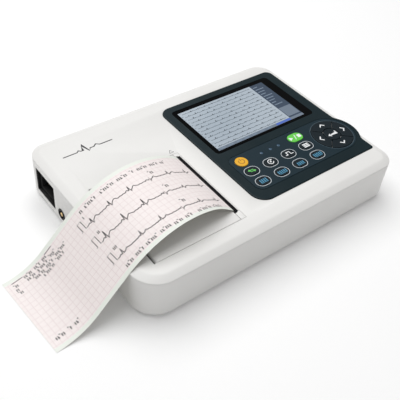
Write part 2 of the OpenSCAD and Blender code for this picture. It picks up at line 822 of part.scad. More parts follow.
module printer_chassis() {
    color([0.60, 0.61, 0.63]) difference() {
        union() {
            block([left_x + chassis_x0, motor_plate_y, chassis_z],
                [left_x + spring_wall_x + plate_t, plate_y1 + plate_t, chassis_z + plate_t]);
            for (y = [plate_y0, plate_y1]) block([left_x + chassis_x0, y, chassis_z],
                [left_x + spring_wall_x + plate_t, y + plate_t, platen_z + 1]);
            block([left_x + spring_wall_x, plate_y0, chassis_z],
                [left_x + spring_wall_x + plate_t, plate_y1 + plate_t, platen_z + 4]);
            block([left_x + platen_x - 4, motor_plate_y, chassis_z],
                [left_x + pinion_x + motor_r + 2, motor_plate_y + plate_t, idler_z + motor_r]);
        }
        translate([left_x + platen_x, 0, platen_z]) shaft_slot(slot_r);
        translate([left_x + platen_x, 0, idler_z]) along_y(idler_axle_r, plate_y0 - past, plate_y0 + plate_t + past);
        translate([left_x + pinion_x, 0, idler_z]) along_y(motor_shaft_r + 1, motor_plate_y - past, motor_plate_y + plate_t + past);
    }
}

// Slot, open upwards, that the platen shaft drops into
module shaft_slot(r) {
    along_y(r, plate_y0 - 20, plate_y1 + 20);
    block([-r, plate_y0 - 20, 0], [r, plate_y1 + 20, 20]);
}

module platen_catches() {
    color([0.80, 0.81, 0.83]) translate([left_x + platen_x, 0, platen_z]) difference() {
        for (y = [catch_y0, catch_y1]) block([-6, y, -5], [6, y + plate_t, 0.5]);
        shaft_slot(shaft_r + 0.35);
    }
}

module print_head() {
    color([0.93, 0.93, 0.90]) block([left_x + head_x, rubber_y0 - 0.2, platen_z - 8],
        [left_x + head_x + head_t, rubber_y1 + 0.2, platen_z + 4]);
}

module head_heatsink() {
    color([0.78, 0.79, 0.81]) block([left_x + head_x + head_t, ear_y0, platen_z - 11],
        [left_x + head_x + head_t + sink_t, ear_y1 + ear_t, platen_z + 5]);
}

// Leaf springs between the heatsink and the chassis
module head_springs() {
    x0 = left_x + head_x + head_t + sink_t;
    x1 = left_x + spring_wall_x;
    t = 0.5;
    color([0.80, 0.81, 0.83]) for (k = [-1, 0, 1])
        translate([0, paper_y + k * 28 + 4, platen_z - 4]) rotate([90, 0, 0]) linear_extrude(8)
            polygon([[x1, -8], [x1, 3], [x1 - t, 3], [x0 + t, 0.4], [x0, 0.4], [x0, -0.4], [x1 - t, -3], [x1 - t, -8]]);
}

tear_w = 2.8;
tear_t = 0.6;
tear_over = 0.4;

module tear_rebate(gap) {
    block([left_x + opening_right - past, rubber_y0 - 1 - gap, top_z - 0.3 - tear_t],
        [left_x + opening_right + tear_w - tear_over + gap, rubber_y1 + 1 + gap, top_z + past]);
}

// Serrated cutting edge beside the paper slot
module tear_bar() {
    pitch = 1.5;
    y0 = rubber_y0 - 1;
    count = floor((rubber_y1 + 1 - y0) / pitch);
    x0 = left_x + opening_right - tear_over;
    x1 = x0 + tear_w;
    edge = [for (i = [0:count - 1], k = [0, 1]) [x0 + k * 0.5, y0 + (i + k / 2) * pitch]];
    color([0.55, 0.55, 0.56]) translate([0, 0, top_z - 0.3 - tear_t]) linear_extrude(tear_t)
        polygon(concat(edge, [[x0, y0 + count * pitch], [x1, y0 + count * pitch], [x1, y0]]));
}

module stepper_motor() {
    length = 13;
    color([0.70, 0.71, 0.73]) translate([left_x + pinion_x, 0, idler_z]) {
        along_y(motor_r, motor_plate_y - length, motor_plate_y);
        along_y(motor_shaft_r, motor_plate_y, gear_y + gear_w);
    }
}

module idler_axle() {
    color([0.80, 0.81, 0.83]) translate([left_x + platen_x, 0, idler_z])
        along_y(idler_axle_r, gear_y - 0.2, plate_y0 + plate_t);
}

peg_r = 5.9;
core_bore = peg_r + 0.08;
core_r = 7.2;
peg_in = 6;

module paper_tray() {
    x0 = left_x + roll_x - roll_r - 2.5;
    x1 = left_x + roll_x + roll_r + 2;
    y0 = rubber_y0 - 1.6;
    y1 = rubber_y1 + 1.6;
    color([0.25, 0.26, 0.28]) {
        block([x0, y0 - tray_t, chassis_z], [x1, y1 + tray_t, chassis_z + tray_t]);
        block([x0 - tray_t, y0 - tray_t, chassis_z], [x0, y1 + tray_t, roll_z + 8]);
        for (y = [y0 - tray_t, y1]) block([x0 - tray_t, y, chassis_z], [x1, y + tray_t, roll_z + 8]);
        translate([left_x + roll_x, 0, roll_z]) {
            along_y(peg_r, y0 - tray_t / 2, rubber_y0 + peg_in);
            along_y(peg_r, rubber_y1 - peg_in, y1 + tray_t / 2);
        }
    }
}

// ---- printer, turning pieces ----

module paper_roll() {
    color([0.96, 0.93, 0.92]) translate([left_x + roll_x, 0, roll_z]) difference() {
        along_y(roll_r, paper_y - paper_w / 2, paper_y + paper_w / 2);
        along_y(core_r, rubber_y0 - 5, rubber_y1 + 5);
    }
}

module roll_core() {
    color([0.62, 0.50, 0.38]) translate([left_x + roll_x, 0, roll_z]) difference() {
        along_y(core_r, paper_y - paper_w / 2, paper_y + paper_w / 2);
        along_y(core_bore, rubber_y0 - 5, rubber_y1 + 5);
    }
}

module platen_shaft() {
    color([0.80, 0.81, 0.83]) translate([left_x + platen_x, 0, platen_z]) along_y(shaft_r, shaft_y0, shaft_y1);
}

module platen_rubber() {
    color([0.10, 0.10, 0.11]) translate([left_x + platen_x, 0, platen_z]) difference() {
        along_y(platen_r, rubber_y0, rubber_y1);
        along_y(shaft_r, rubber_y0 - past, rubber_y1 + past);
    }
}

module platen_gear() {
    color([0.90, 0.90, 0.86]) translate([left_x + platen_x, gear_y, platen_z]) spur(platen_teeth, gear_w, shaft_r, -90);
}

module idler_gear() {
    color([0.90, 0.90, 0.86]) translate([left_x + platen_x, gear_y, idler_z])
        spur(idler_teeth, gear_w, idler_axle_r + running, 90 + 180 / idler_teeth);
}

module motor_pinion() {
    color([0.80, 0.70, 0.40]) translate([left_x + pinion_x, gear_y, idler_z])
        spur(pinion_teeth, gear_w, motor_shaft_r + running, 180);
}

// ---- door ----

pin_r = 1.5;
pin_in = 8;
bush_r = 4;
bush_wall = bush_r - shaft_r - running;

module printer_door() {
    color([0.93, 0.925, 0.915]) difference() {
        union() {
            block([left_x + hinge_in, door_y0, top_z - door_t], [left_x + door_edge, door_y1, top_z]);
            translate([left_x + hinge_in, 0, hinge_z]) along_y(barrel_r, door_y0, door_y1);
            for (y = [ear_y0, ear_y1]) translate([left_x + platen_x, 0, platen_z]) {
                block([-6, y, 0], [door_edge - platen_x, y + ear_t, platen_down - door_t / 2]);
                along_y(6, y, y + ear_t);
            }
        }
        translate([left_x + platen_x, 0, platen_z]) along_y(bush_r, ear_y0 - past, ear_y0 + ear_t + past);
        translate([left_x + platen_x, 0, platen_z]) along_y(bush_r, ear_y1 - past, ear_y1 + ear_t + past);
        translate([left_x + hinge_in, 0, hinge_z]) {
            along_y(pin_r, door_y0 - past, door_y0 + pin_in);
            along_y(pin_r, door_y1 - pin_in, door_y1 + past);
        }
        translate([left_x, 0, 0]) door_relief();
    }
}

// The plate's middle is thinned underneath, over the roll
module door_relief() {
    block([roll_x - roll_r, door_y0 + 6, top_z - door_t - past],
        [roll_x + roll_r, door_y1 - 6, top_z - door_t + 0.6]);
}

module hinge_pins() {
    color([0.80, 0.81, 0.83]) translate([left_x + hinge_in, 0, hinge_z]) {
        along_y(pin_r, door_y0 - seam - 2.3, door_y0 + pin_in);
        along_y(pin_r, door_y1 - pin_in, door_y1 + seam + 2.3);
    }
}

module platen_bushes() {
    color([0.80, 0.66, 0.40]) translate([left_x + platen_x, 0, platen_z])
        for (y = [ear_y0, ear_y1]) difference() {
            along_y(bush_r, y, y + ear_t);
            along_y(bush_r - bush_wall, y - past, y + ear_t + past);
        }
}

// ---- printed strip ----

// A thin ribbon swept along the strip's line; each station is a level line across the paper, turned by its yaw
module paper_strip() {
    n = len(strip_line);
    function slope(i) = let (a = strip_line[max(i - 1, 0)], b = strip_line[min(i + 1, n - 1)])
        atan2(b[2] - a[2], -norm([b[0] - a[0], b[1] - a[1]]) * sign(a[0] - b[0] + thin / 1000));
    function ring(i) = let (
            p = strip_line[i],
            across = [-sin(p[3]), cos(p[3]), 0] * paper_w / 2,
            tilt = slope(i),
            lift = [cos(p[3]) * sin(tilt), sin(p[3]) * sin(tilt), -cos(tilt)] * paper_t / 2,
            mid = [left_x + p[0], p[1], p[2]]
        )
        [mid + across + lift, mid - across + lift, mid - across - lift, mid + across - lift];
    points = [for (i = [0:n - 1], q = ring(i)) q];
    sides = [for (i = [0:n - 2], k = [0:3]) let (a = 4 * i + k, b = 4 * i + (k + 1) % 4)
        each [[a, b, b + 4], [a, b + 4, a + 4]]];
    ends = [[3, 2, 1], [3, 1, 0], [4 * n - 4, 4 * n - 3, 4 * n - 2], [4 * n - 4, 4 * n - 2, 4 * n - 1]];
    color([0.97, 0.90, 0.90]) polyhedron(points, concat(sides, ends));
}

top_case();
bottom_case();
console_panel();
display_glass();
lcd_module();
keypad_board();
key_domes();
indicator_lights();
main_board();
power_supply();
battery_pack();
battery_cover();
mains_inlet();
inlet_blades();
earth_socket();
earth_pin();
patient_socket();
socket_jackscrews();
usb_port();
network_port();
speaker();
feet();
case_screws();
printer_chassis();
platen_catches();
print_head();
head_heatsink();
head_springs();
tear_bar();
stepper_motor();
idler_axle();
paper_tray();
paper_roll();
roll_core();
printer_door();
hinge_pins();
platen_bushes();
platen_shaft();
platen_rubber();
platen_gear();
motor_pinion();
idler_gear();
paper_strip();
power_key();
start_key();
small_key(0);  // key_1
small_key(1);  // key_2
small_key(2);  // key_3
small_key(3);  // key_4
small_key(4);  // key_5
small_key(5);  // key_6
small_key(6);  // key_7
small_key(7);  // key_8
nav_key(nav_turn[0]);  // nav_up
nav_key(nav_turn[1]);  // nav_right
nav_key(nav_turn[2]);  // nav_down
nav_key(nav_turn[3]);  // nav_left
enter_key();
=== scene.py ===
"""Looks of a portable ECG machine: white case, dark console, strip printer with its printed paper.

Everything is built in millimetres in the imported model's frame and turned into metres when a mesh
is made.
"""

import json
import math

import bmesh
import bpy
from mathutils import Matrix, Vector


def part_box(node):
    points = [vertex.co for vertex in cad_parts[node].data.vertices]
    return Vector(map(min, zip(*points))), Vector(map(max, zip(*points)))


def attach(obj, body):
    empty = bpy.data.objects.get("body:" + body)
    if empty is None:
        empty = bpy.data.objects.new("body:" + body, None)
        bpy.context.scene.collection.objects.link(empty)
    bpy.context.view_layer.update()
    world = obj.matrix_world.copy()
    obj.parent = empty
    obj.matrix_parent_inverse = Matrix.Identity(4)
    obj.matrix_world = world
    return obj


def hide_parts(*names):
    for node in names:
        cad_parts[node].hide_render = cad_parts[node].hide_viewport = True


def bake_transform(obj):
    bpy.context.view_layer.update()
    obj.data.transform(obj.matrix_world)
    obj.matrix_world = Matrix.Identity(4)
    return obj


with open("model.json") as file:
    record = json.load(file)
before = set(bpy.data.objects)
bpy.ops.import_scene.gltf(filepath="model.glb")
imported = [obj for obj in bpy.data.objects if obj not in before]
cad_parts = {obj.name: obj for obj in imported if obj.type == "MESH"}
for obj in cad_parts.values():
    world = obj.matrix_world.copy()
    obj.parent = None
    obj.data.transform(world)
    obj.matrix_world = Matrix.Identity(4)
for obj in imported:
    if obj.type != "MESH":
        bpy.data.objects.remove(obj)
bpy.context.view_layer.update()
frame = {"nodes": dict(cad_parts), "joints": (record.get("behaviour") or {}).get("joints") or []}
nodes = frame["nodes"]

MM = 0.001
CASE = "case"


# ---- sizes, in millimetres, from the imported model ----


def box_mm(node):
    """Lowest and highest corner of a CAD node."""
    low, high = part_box(node)
    return low / MM, high / MM


def joint_mm(name):
    """A joint's position."""
    for joint in frame["joints"]:
        if joint["name"] == name:
            return Vector(joint["pos_m"]) / MM
    raise ValueError(name)


case_low, case_high = box_mm("bottom_case")
left, front, base = case_low
right, back, seam = case_high
top = box_mm("top_case")[1].z
band_w = 7.0
wall = 2.5
floor_z = base + wall
corner_radii = [24.5, 16.5, 16.5, 16.5]  # front left, front right, back right, back left

hinge = joint_mm("door_hinge")
platen = joint_mm("platen_spin")
roll = joint_mm("roll_spin")
door_low, door_high = box_mm("printer_door")
barrel_r = top - hinge.z
door_t = 2.5
door_edge = door_high.x
slot_w = 3.0
door_gap = 0.4
tear_low, tear_high = box_mm("tear_bar")

panel_low, panel_high = box_mm("console_panel")
enter_low, enter_high = box_mm("enter_key")
nav = (enter_low + enter_high) / 2
nav_r = (box_mm("nav_right")[1].x - nav.x) - 0.8
enter_r = (enter_high.x - enter_low.x) / 2
lobe_r = panel_high.x - nav.x
panel_x0 = panel_low.x
panel_x1 = right - 7.4
panel_top = panel_high.z
panel_t = 2.0
glass_low, glass_high = box_mm("display_glass")
key_top = enter_high.z

paper_low, paper_high = box_mm("paper_roll")
paper_mid = (paper_low.y + paper_high.y) / 2
paper_half = (paper_high.y - paper_low.y) / 2


# ---- mesh tools ----


def square(x0, y0, x1, y1):
    return [(x0, y0), (x1, y0), (x1, y1), (x0, y1)]


class Shape:
    """Collects faces with material slots, in millimetres, and makes one mesh of them."""

    def __init__(self):
        self.points = []
        self.faces = []
        self.slots = []

    def add(self, points, faces, slot=0):
        first = len(self.points)
        self.points += [tuple(p) for p in points]
        self.faces += [[first + i for i in face] for face in faces]
        self.slots += [slot] * len(faces)

    def loft(self, rings, closed=True):
        """Skin through rings of equal length, with both ends capped when closed."""
        count = len(rings[0])
        points = [p for ring in rings for p in ring]
        faces = []
        for k in range(len(rings) - 1):
            for i in range(count):
                j = (i + 1) % count
                a = k * count
                faces.append([a + i, a + j, a + count + j, a + count + i])
        if closed:
            faces.append(list(reversed(range(count))))
            faces.append([(len(rings) - 1) * count + i for i in range(count)])
        self.add(points, faces)

    def plate(self, outline, z, slot=0):
        """Flat printed area facing up."""
        self.add([(x, y, z) for x, y in outline], [list(range(len(outline)))], slot)

    def ring(self, outer, inner, z, slot=0):
        """Flat printed band between two outlines of equal length."""
        count = len(outer)
        points = [(x, y, z) for x, y in outer + inner]
        faces = []
        for i in range(count):
            j = (i + 1) % count
            faces.append([i, j, count + j, count + i])
        self.add(points, faces, slot)

    def stroke(self, line, width, z, slot=0):
        """Printed line of even width along 2-D points."""
        for (a, b), (c, d) in line_pieces(line, width, 0.35):
            self.add([(p.x, p.y, z) for p in (b, d, c, a)], [[0, 1, 2, 3]], slot)

    def bar(self, x0, y0, x1, y1, z, slot=0):
        """Flat printed rectangle."""
        self.plate(square(x0, y0, x1, y1), z, slot)

    def block(self, low, high):
        """Box between two corners."""
        x0, y0, z0 = low
        x1, y1, z1 = high
        self.prism(square(x0, y0, x1, y1), z0, z1)

    def prism(self, outline, z0, z1):
        """Upright prism over an outline."""
        self.loft([[(x, y, z) for x, y in outline] for z in (z0, z1)])

    def make(self, name, materials, smooth=32):
        mesh = bpy.data.meshes.new(name)
        mesh.from_pydata([Vector(p) * MM for p in self.points], [], self.faces)
        for material in materials:
            mesh.materials.append(material)
        mesh.polygons.foreach_set("material_index", self.slots)
        piece = bpy.data.objects.new(name, mesh)
        bpy.context.scene.collection.objects.link(piece)
        shade(piece, smooth)
        return piece


def line_pieces(line, width, sharpest):
    """Pairs of side points along a 2-D line; corners are mitred as far as the given cosine."""
    sides = []
    last = len(line) - 1
    for i, point in enumerate(line):
        here = Vector(point)
        ahead = Vector(line[min(i + 1, last)]) - Vector(line[max(i - 1, 0)])
        normal = Vector((-ahead.y, ahead.x)).normalized() * width / 2
        if 0 < i < last:
            before = (here - Vector(line[i - 1])).normalized()
            normal = normal / max(sharpest, abs(before.dot(ahead.normalized())))
        sides.append((here + normal, here - normal))
    return zip(sides, sides[1:])


def shade(piece, angle=32):
    """Smooth shading with sharp edges above an angle in degrees."""
    mesh = piece.data
    mesh.polygons.foreach_set("use_smooth", [True] * len(mesh.polygons))
    mesh.set_sharp_from_angle(angle=math.radians(angle))
    mesh.update()


def apply_modifiers(piece):
    """Replaces a piece's mesh by what its modifiers make of it."""
    graph = bpy.context.evaluated_depsgraph_get()
    mesh = bpy.data.meshes.new_from_object(piece.evaluated_get(graph))
    piece.modifiers.clear()
    piece.data = mesh


def face_outwards(piece):
    solid = bmesh.new()
    solid.from_mesh(piece.data)
    bmesh.ops.recalc_face_normals(solid, faces=solid.faces)
    solid.to_mesh(piece.data)
    solid.free()


def cut(piece, tool, smooth=32):
    """Takes a Shape away from a piece."""
    cutter = tool.make("cutter", [])
    face_outwards(cutter)
    face_outwards(piece)
    modifier = piece.modifiers.new("cut", "BOOLEAN")
    modifier.operation = "DIFFERENCE"
    modifier.solver = "EXACT"
    modifier.use_self = True
    modifier.object = cutter
    apply_modifiers(piece)
    bpy.data.objects.remove(cutter)
    shade(piece, smooth)


def soften(piece, width, segments=2):
    """Rounds the edges sharper than 50 degrees."""
    clean = bmesh.new()
    clean.from_mesh(piece.data)
    bmesh.ops.remove_doubles(clean, verts=clean.verts, dist=0.004 * MM)
    bmesh.ops.dissolve_degenerate(clean, edges=clean.edges, dist=0.004 * MM)
    clean.to_mesh(piece.data)
    clean.free()
    modifier = piece.modifiers.new("edges", "BEVEL")
    modifier.width = width * MM
    modifier.segments = segments
    modifier.limit_method = "ANGLE"
    modifier.angle_limit = math.radians(50)
    modifier.use_clamp_overlap = False
    modifier.miter_outer = "MITER_ARC"
    apply_modifiers(piece)
    shade(piece)


def soft_line(points, radii, steps=5):
    """A 2-D line with its inner corners rounded by the given radii."""
    line = [Vector(points[0])]
    for before, here, after, r in zip(points, points[1:], points[2:], radii):
        p = Vector(here)
        if r == 0:
            line.append(p)
            continue
        a = (Vector(before) - p).normalized()
        b = (Vector(after) - p).normalized()
        half = a.angle(b) / 2
        centre = p + (a + b).normalized() * r / math.sin(half)
        start = p + a * r / math.tan(half) - centre
        end = p + b * r / math.tan(half) - centre
        turn = start.angle(end)
        for k in range(steps + 1):
            f = k / steps
            arm = (start * math.sin((1 - f) * turn) + end * math.sin(f * turn)) / math.sin(turn)
            line.append(centre + arm)
    line.append(Vector(points[-1]))
    return line


def arc(centre, r, start, end, steps):
    """Points along an arc, angles in degrees."""
    angles = [math.radians(start + (end - start) * k / steps) for k in range(steps + 1)]
    return [(centre[0] + r * math.cos(a), centre[1] + r * math.sin(a)) for a in angles]


def round_box(low, high, radii, steps):
    """Outline of a rectangle, corners front left, front right, back right, back left."""
    x0, y0 = low
    x1, y1 = high
    a, b, c, d = radii
    return (
        arc((x0 + a, y0 + a), a, 180, 270, steps)
        + arc((x1 - b, y0 + b), b, 270, 360, steps)
        + arc((x1 - c, y1 - c), c, 0, 90, steps)
        + arc((x0 + d, y1 - d), d, 90, 180, steps)
    )


def circle(x, y, r, steps=48):
    return arc((x, y), r, 0, 360, steps)[:-1]


def pill(x, y, length, depth):
    """Outline of a bar with round ends."""
    r = depth / 2
    reach = (length - depth) / 2
    return arc((x + reach, y), r, -90, 90, 10) + arc((x - reach, y), r, 90, 270, 10)


def case_outline(inset):
    radii = [max(r - inset, 1.0) for r in corner_radii]
    return round_box((left + inset, front + inset), (right - inset, back - inset), radii, 20)


def lofted(outline, profile):
    """Rings of an outline function along a profile of (inset, z)."""
    return [[(x, y, z) for x, y in outline(inset)] for inset, z in profile]


# ---- materials ----


def new_material(name, colour, roughness, metallic=0.0):
    material = bpy.data.materials.new(name)
    material.use_nodes = True
    shader = material.node_tree.nodes["Principled BSDF"]
    shader.inputs["Base Color"].default_value = (*colour, 1)
    shader.inputs["Roughness"].default_value = roughness
    shader.inputs["Metallic"].default_value = metallic
    return material


def add_node(material, kind, **inputs):
    node = material.node_tree.nodes.new(kind)
    for name, value in inputs.items():
        node.inputs[name.replace("_", " ")].default_value = value
    return node


def link(material, source, target):
    material.node_tree.links.new(source, target)


def object_space(material, stretch=(1, 1, 1)):
    """Object coordinates, stretched."""
    place = add_node(material, "ShaderNodeTexCoord")
    mapping = add_node(material, "ShaderNodeMapping", Scale=stretch)
    link(material, place.outputs["Object"], mapping.inputs["Vector"])
    return mapping.outputs["Vector"]


def noise(material, scale, detail=2.0, stretch=(1, 1, 1)):
    node = add_node(material, "ShaderNodeTexNoise", Scale=scale, Detail=detail)
    link(material, object_space(material, stretch), node.inputs["Vector"])
    return node.outputs["Fac"]


def spread(material, source, low, high, start=0.3, end=0.7):
    """Maps a noise value to a range."""
    node = add_node(material, "ShaderNodeMapRange")
    node.inputs["From Min"].default_value = start
    node.inputs["From Max"].default_value = end
    node.inputs["To Min"].default_value = low
    node.inputs["To Max"].default_value = high
    link(material, source, node.inputs["Value"])
    return node.outputs["Result"]


def blend_colours(material, factor, first, second, blend="MIX"):
    """Mix of two colours, each one a colour or a socket."""
    node = add_node(material, "ShaderNodeMix")
    node.data_type = "RGBA"
    node.blend_type = blend
    node.inputs[0].default_value = 1.0
    if factor is not None:
        link(material, factor, node.inputs[0])
    for socket, colour in ((node.inputs[6], first), (node.inputs[7], second)):
        if isinstance(colour, tuple):
            socket.default_value = (*colour, 1)
        else:
            link(material, colour, socket)
    return node.outputs[2]


def shader_of(material):
    return material.node_tree.nodes["Principled BSDF"]


def tint(material, first, second, scale, stretch=(1, 1, 1)):
    """Slow colour variation between two close colours."""
    factor = spread(material, noise(material, scale, 3.0, stretch), 0.0, 1.0)
    colour = blend_colours(material, factor, first, second)
    link(material, colour, shader_of(material).inputs["Base Color"])


def vary_gloss(material, low, high, scale, stretch=(1, 1, 1)):
    value = spread(material, noise(material, scale, 4.0, stretch), low, high)
    link(material, value, shader_of(material).inputs["Roughness"])


def emboss(material, height, depth_mm, strength=0.6):
    node = add_node(material, "ShaderNodeBump", Strength=strength, Distance=depth_mm * MM)
    link(material, height, node.inputs["Height"])
    link(material, node.outputs["Normal"], shader_of(material).inputs["Normal"])


def shaded(colour, factor):
    return tuple(c * factor for c in colour)


def moulded(name, colour, roughness, grain=900.0, depth=0.02, spread_by=0.03, wear=0.06):
    """Moulded plastic: fine spark grain, faint tone and gloss variation."""
    material = new_material(name, colour, roughness)
    tint(material, shaded(colour, 1 - spread_by), shaded(colour, 1 + spread_by), 18.0)
    vary_gloss(material, roughness - wear, roughness + wear, 60.0)
    emboss(material, noise(material, grain, 2.0), depth)
    return material


def metal(name, colour, roughness, stretch=(1, 1, 1), scale=400.0):
    """Plain or brushed metal; a long stretch gives the brushing its direction."""
    material = new_material(name, colour, roughness, 1.0)
    tint(material, shaded(colour, 0.9), shaded(colour, 1.06), scale / 4, stretch)
    vary_gloss(material, roughness * 0.7, roughness * 1.35, scale, stretch)
    emboss(material, noise(material, scale * 2, 3.0, stretch), 0.01, 0.4)
    return material


def printed(name, colour, roughness=0.45):
    """Screen-printed ink: slightly uneven cover."""
    material = new_material(name, colour, roughness)
    tint(material, shaded(colour, 0.9), shaded(colour, 1.06), 700.0)
    vary_gloss(material, roughness - 0.05, roughness + 0.08, 500.0)
    return material


case_white = moulded("case_white", (0.80, 0.793, 0.775), 0.42, 1100.0, 0.012, 0.012, 0.05)
# Case white darkened for the screw posts and ears inside the case: a shaded copy of case_white, painted
# shade.
case_white_shaded = moulded("case_white_shaded", (0.66, 0.655, 0.64), 0.5, 900.0, 0.02, 0.02)
panel_teal = moulded("panel_teal", (0.002, 0.0125, 0.017), 0.34, 1500.0, 0.006, 0.06, 0.05)
film_teal = moulded("film_teal", (0.005, 0.020, 0.030), 0.42, 1800.0, 0.008, 0.05, 0.05)
key_dark = moulded("key_dark", (0.003, 0.010, 0.015), 0.4, 1800.0, 0.008, 0.05)
key_yellow = moulded("key_yellow", (0.80, 0.41, 0.006), 0.38, 1200.0, 0.006, 0.04)
key_green = moulded("key_green", (0.13, 0.62, 0.07), 0.34, 1200.0, 0.006, 0.04)
black_plastic = moulded("black_plastic", (0.006, 0.006, 0.0065), 0.45, 1000.0, 0.02, 0.1)
grey_plastic = moulded("grey_plastic", (0.06, 0.065, 0.075), 0.5, 900.0, 0.02, 0.05)
gear_plastic = moulded("gear_plastic", (0.78, 0.77, 0.70), 0.38, 900.0, 0.008, 0.03)
rubber = moulded("rubber", (0.022, 0.022, 0.024), 0.78, 1400.0, 0.03, 0.12)
light_window = moulded("light_window", (0.05, 0.10, 0.16), 0.15, 900.0, 0.002, 0.1, 0.04)
cardboard = moulded("cardboard", (0.42, 0.29, 0.18), 0.85, 500.0, 0.04, 0.12)
battery_wrap = moulded("battery_wrap", (0.03, 0.09, 0.26), 0.3, 600.0, 0.01, 0.06)
ceramic = moulded("ceramic", (0.70, 0.70, 0.66), 0.2, 600.0, 0.003, 0.03)
for dark_material in (panel_teal, film_teal, key_dark, black_plastic):
    shader_of(dark_material).inputs["Specular IOR Level"].default_value = 0.2
steel = metal("steel", (0.56, 0.57, 0.59), 0.3, (1, 18, 1))
tear_steel = metal("tear_steel", (0.010, 0.010, 0.011), 0.45, (18, 1, 1))
aluminium = metal("aluminium", (0.72, 0.73, 0.75), 0.36, (1, 14, 1))
nickel = metal("nickel", (0.66, 0.65, 0.62), 0.26)
brass = metal("brass", (0.78, 0.56, 0.25), 0.28)
zinc = metal("zinc", (0.50, 0.51, 0.52), 0.42, scale=220.0)

ink_white = printed("ink_white", (0.90, 0.92, 0.93))
ink_grey = printed("ink_grey", (0.60, 0.64, 0.67))
ink_blue = printed("ink_blue", (0.07, 0.30, 0.48))
ink_green = printed("ink_green", (0.12, 0.55, 0.10))
ink_dark = printed("ink_dark", (0.035, 0.035, 0.038))
ink_brown = printed("ink_brown", (0.32, 0.12, 0.01))
ink_soft = printed("ink_soft", (0.16, 0.16, 0.16))
ink_faint = printed("ink_faint", (0.06, 0.10, 0.13))
trace_ink = printed("trace_ink", (0.012, 0.011, 0.013), 0.6)
text_ink = printed("text_ink", (0.025, 0.022, 0.026), 0.6)


def board_material():
    """Solder mask with a faint weave of traces below it."""
    material = new_material("circuit_board", (0.02, 0.16, 0.07), 0.35)
    tint(material, (0.012, 0.11, 0.05), (0.03, 0.21, 0.09), 260.0, (1, 3, 1))
    vary_gloss(material, 0.25, 0.45, 300.0)
    emboss(material, noise(material, 500.0, 3.0, (1, 4, 1)), 0.02)
    return material


def glass_black():
    """Polished black border of the display glass."""
    material = new_material("glass_black", (0.0035, 0.0042, 0.005), 0.12)
    shader_of(material).inputs["Specular IOR Level"].default_value = 0.05
    vary_gloss(material, 0.09, 0.16, 25.0)
    tint(material, (0.0008, 0.001, 0.0012), (0.0014, 0.0016, 0.002), 30.0)
    return material


def screen_material(name, low, high, strength):
    """Lit part of the display: a little uneven backlight."""
    material = new_material(name, low, 0.2)
    shader = shader_of(material)
    shader.inputs["Coat Weight"].default_value = 0.4
    shader.inputs["Coat Roughness"].default_value = 0.05
    shader.inputs["Emission Strength"].default_value = strength
    glow = spread(material, noise(material, 9.0, 1.0), 0.0, 1.0)
    colour = blend_colours(material, glow, low, high)
    link(material, colour, shader.inputs["Base Color"])
    link(material, colour, shader.inputs["Emission Color"])
    vary_gloss(material, 0.16, 0.24, 40.0)
    return material


def combine(material, operation, first, second):
    """Math node on two values, each one a number or a socket."""
    node = add_node(material, "ShaderNodeMath")
    node.operation = operation
    for socket, value in zip(node.inputs, (first, second)):
        if isinstance(value, float):
            socket.default_value = value
        else:
            link(material, value, socket)
    return node.outputs[0]


def grid_factor(material, places, pitch, width):
    """1 on ruled lines of a width at a pitch, both in mm, along each coordinate in mm."""
    edge = width / pitch / 2
    lines = []
    for place in places:
        wave = combine(material, "PINGPONG", combine(material, "DIVIDE", place, pitch), 0.5)
        lines.append(spread(material, wave, 1.0, 0.0, edge * 0.7, edge * 1.3))
    return combine(material, "MAXIMUM", *lines)


def chart_paper(name, printed_half):
    """Thermal chart paper: pink 1 mm and 5 mm ruling between plain margins, by the sheet's UV map."""
    margin_tone = (0.84, 0.87, 0.81)
    ruled_tone = (0.93, 0.87, 0.855)
    rulings = ((1.0, 0.13, 0.30, (0.70, 0.47, 0.47)), (5.0, 0.3, 0.43, (0.52, 0.35, 0.36)))
    material = new_material(name, ruled_tone, 0.5)
    sheet = add_node(material, "ShaderNodeUVMap")
    sheet.uv_map = "sheet"
    split = add_node(material, "ShaderNodeSeparateXYZ")
    link(material, sheet.outputs["UV"], split.inputs["Vector"])
    along, across = (combine(material, "MULTIPLY", split.outputs[axis], 1 / MM) for axis in "XY")
    reach = combine(material, "ABSOLUTE", across, 0.0)
    ruled = spread(material, reach, 1.0, 0.0, printed_half - 0.15, printed_half + 0.15)
    fibre = spread(material, noise(material, 450.0, 4.0), 0.0, 0.12)
    toned = blend_colours(material, fibre, (1, 1, 1), (0.8, 0.77, 0.76))
    colour = blend_colours(material, ruled, margin_tone, ruled_tone)
    colour = blend_colours(material, None, colour, toned, "MULTIPLY")
    for pitch, width, strength, tone in rulings:
        lines = grid_factor(material, (along, across), pitch, width)
        lines = combine(material, "MULTIPLY", lines, ruled)
        colour = blend_colours(material, combine(material, "MULTIPLY", lines, strength), colour, tone)
    link(material, colour, shader_of(material).inputs["Base Color"])
    vary_gloss(material, 0.42, 0.58, 90.0)
    emboss(material, noise(material, 800.0, 4.0), 0.006, 0.5)
    return material


def roll_paper():
    """Wound paper: rings on the end faces by distance from the axis."""
    material = new_material("roll_paper", (0.86, 0.82, 0.82), 0.6)
    place = add_node(material, "ShaderNodeTexCoord")
    from_axis = (-roll.x * MM, 0, -roll.z * MM)
    shift = add_node(material, "ShaderNodeMapping", Location=from_axis, Scale=(1, 0, 1))
    link(material, place.outputs["Object"], shift.inputs["Vector"])
    reach = add_node(material, "ShaderNodeVectorMath")
    reach.operation = "LENGTH"
    link(material, shift.outputs["Vector"], reach.inputs[0])
    turns = combine(material, "MULTIPLY", reach.outputs["Value"], 1 / (0.45 * MM))
    rings = combine(material, "PINGPONG", turns, 1.0)
    colour = blend_colours(material, rings, (0.70, 0.64, 0.64), (0.90, 0.87, 0.87))
    link(material, colour, shader_of(material).inputs["Base Color"])
    vary_gloss(material, 0.5, 0.7, 200.0)
    emboss(material, rings, 0.02, 0.3)
    return material


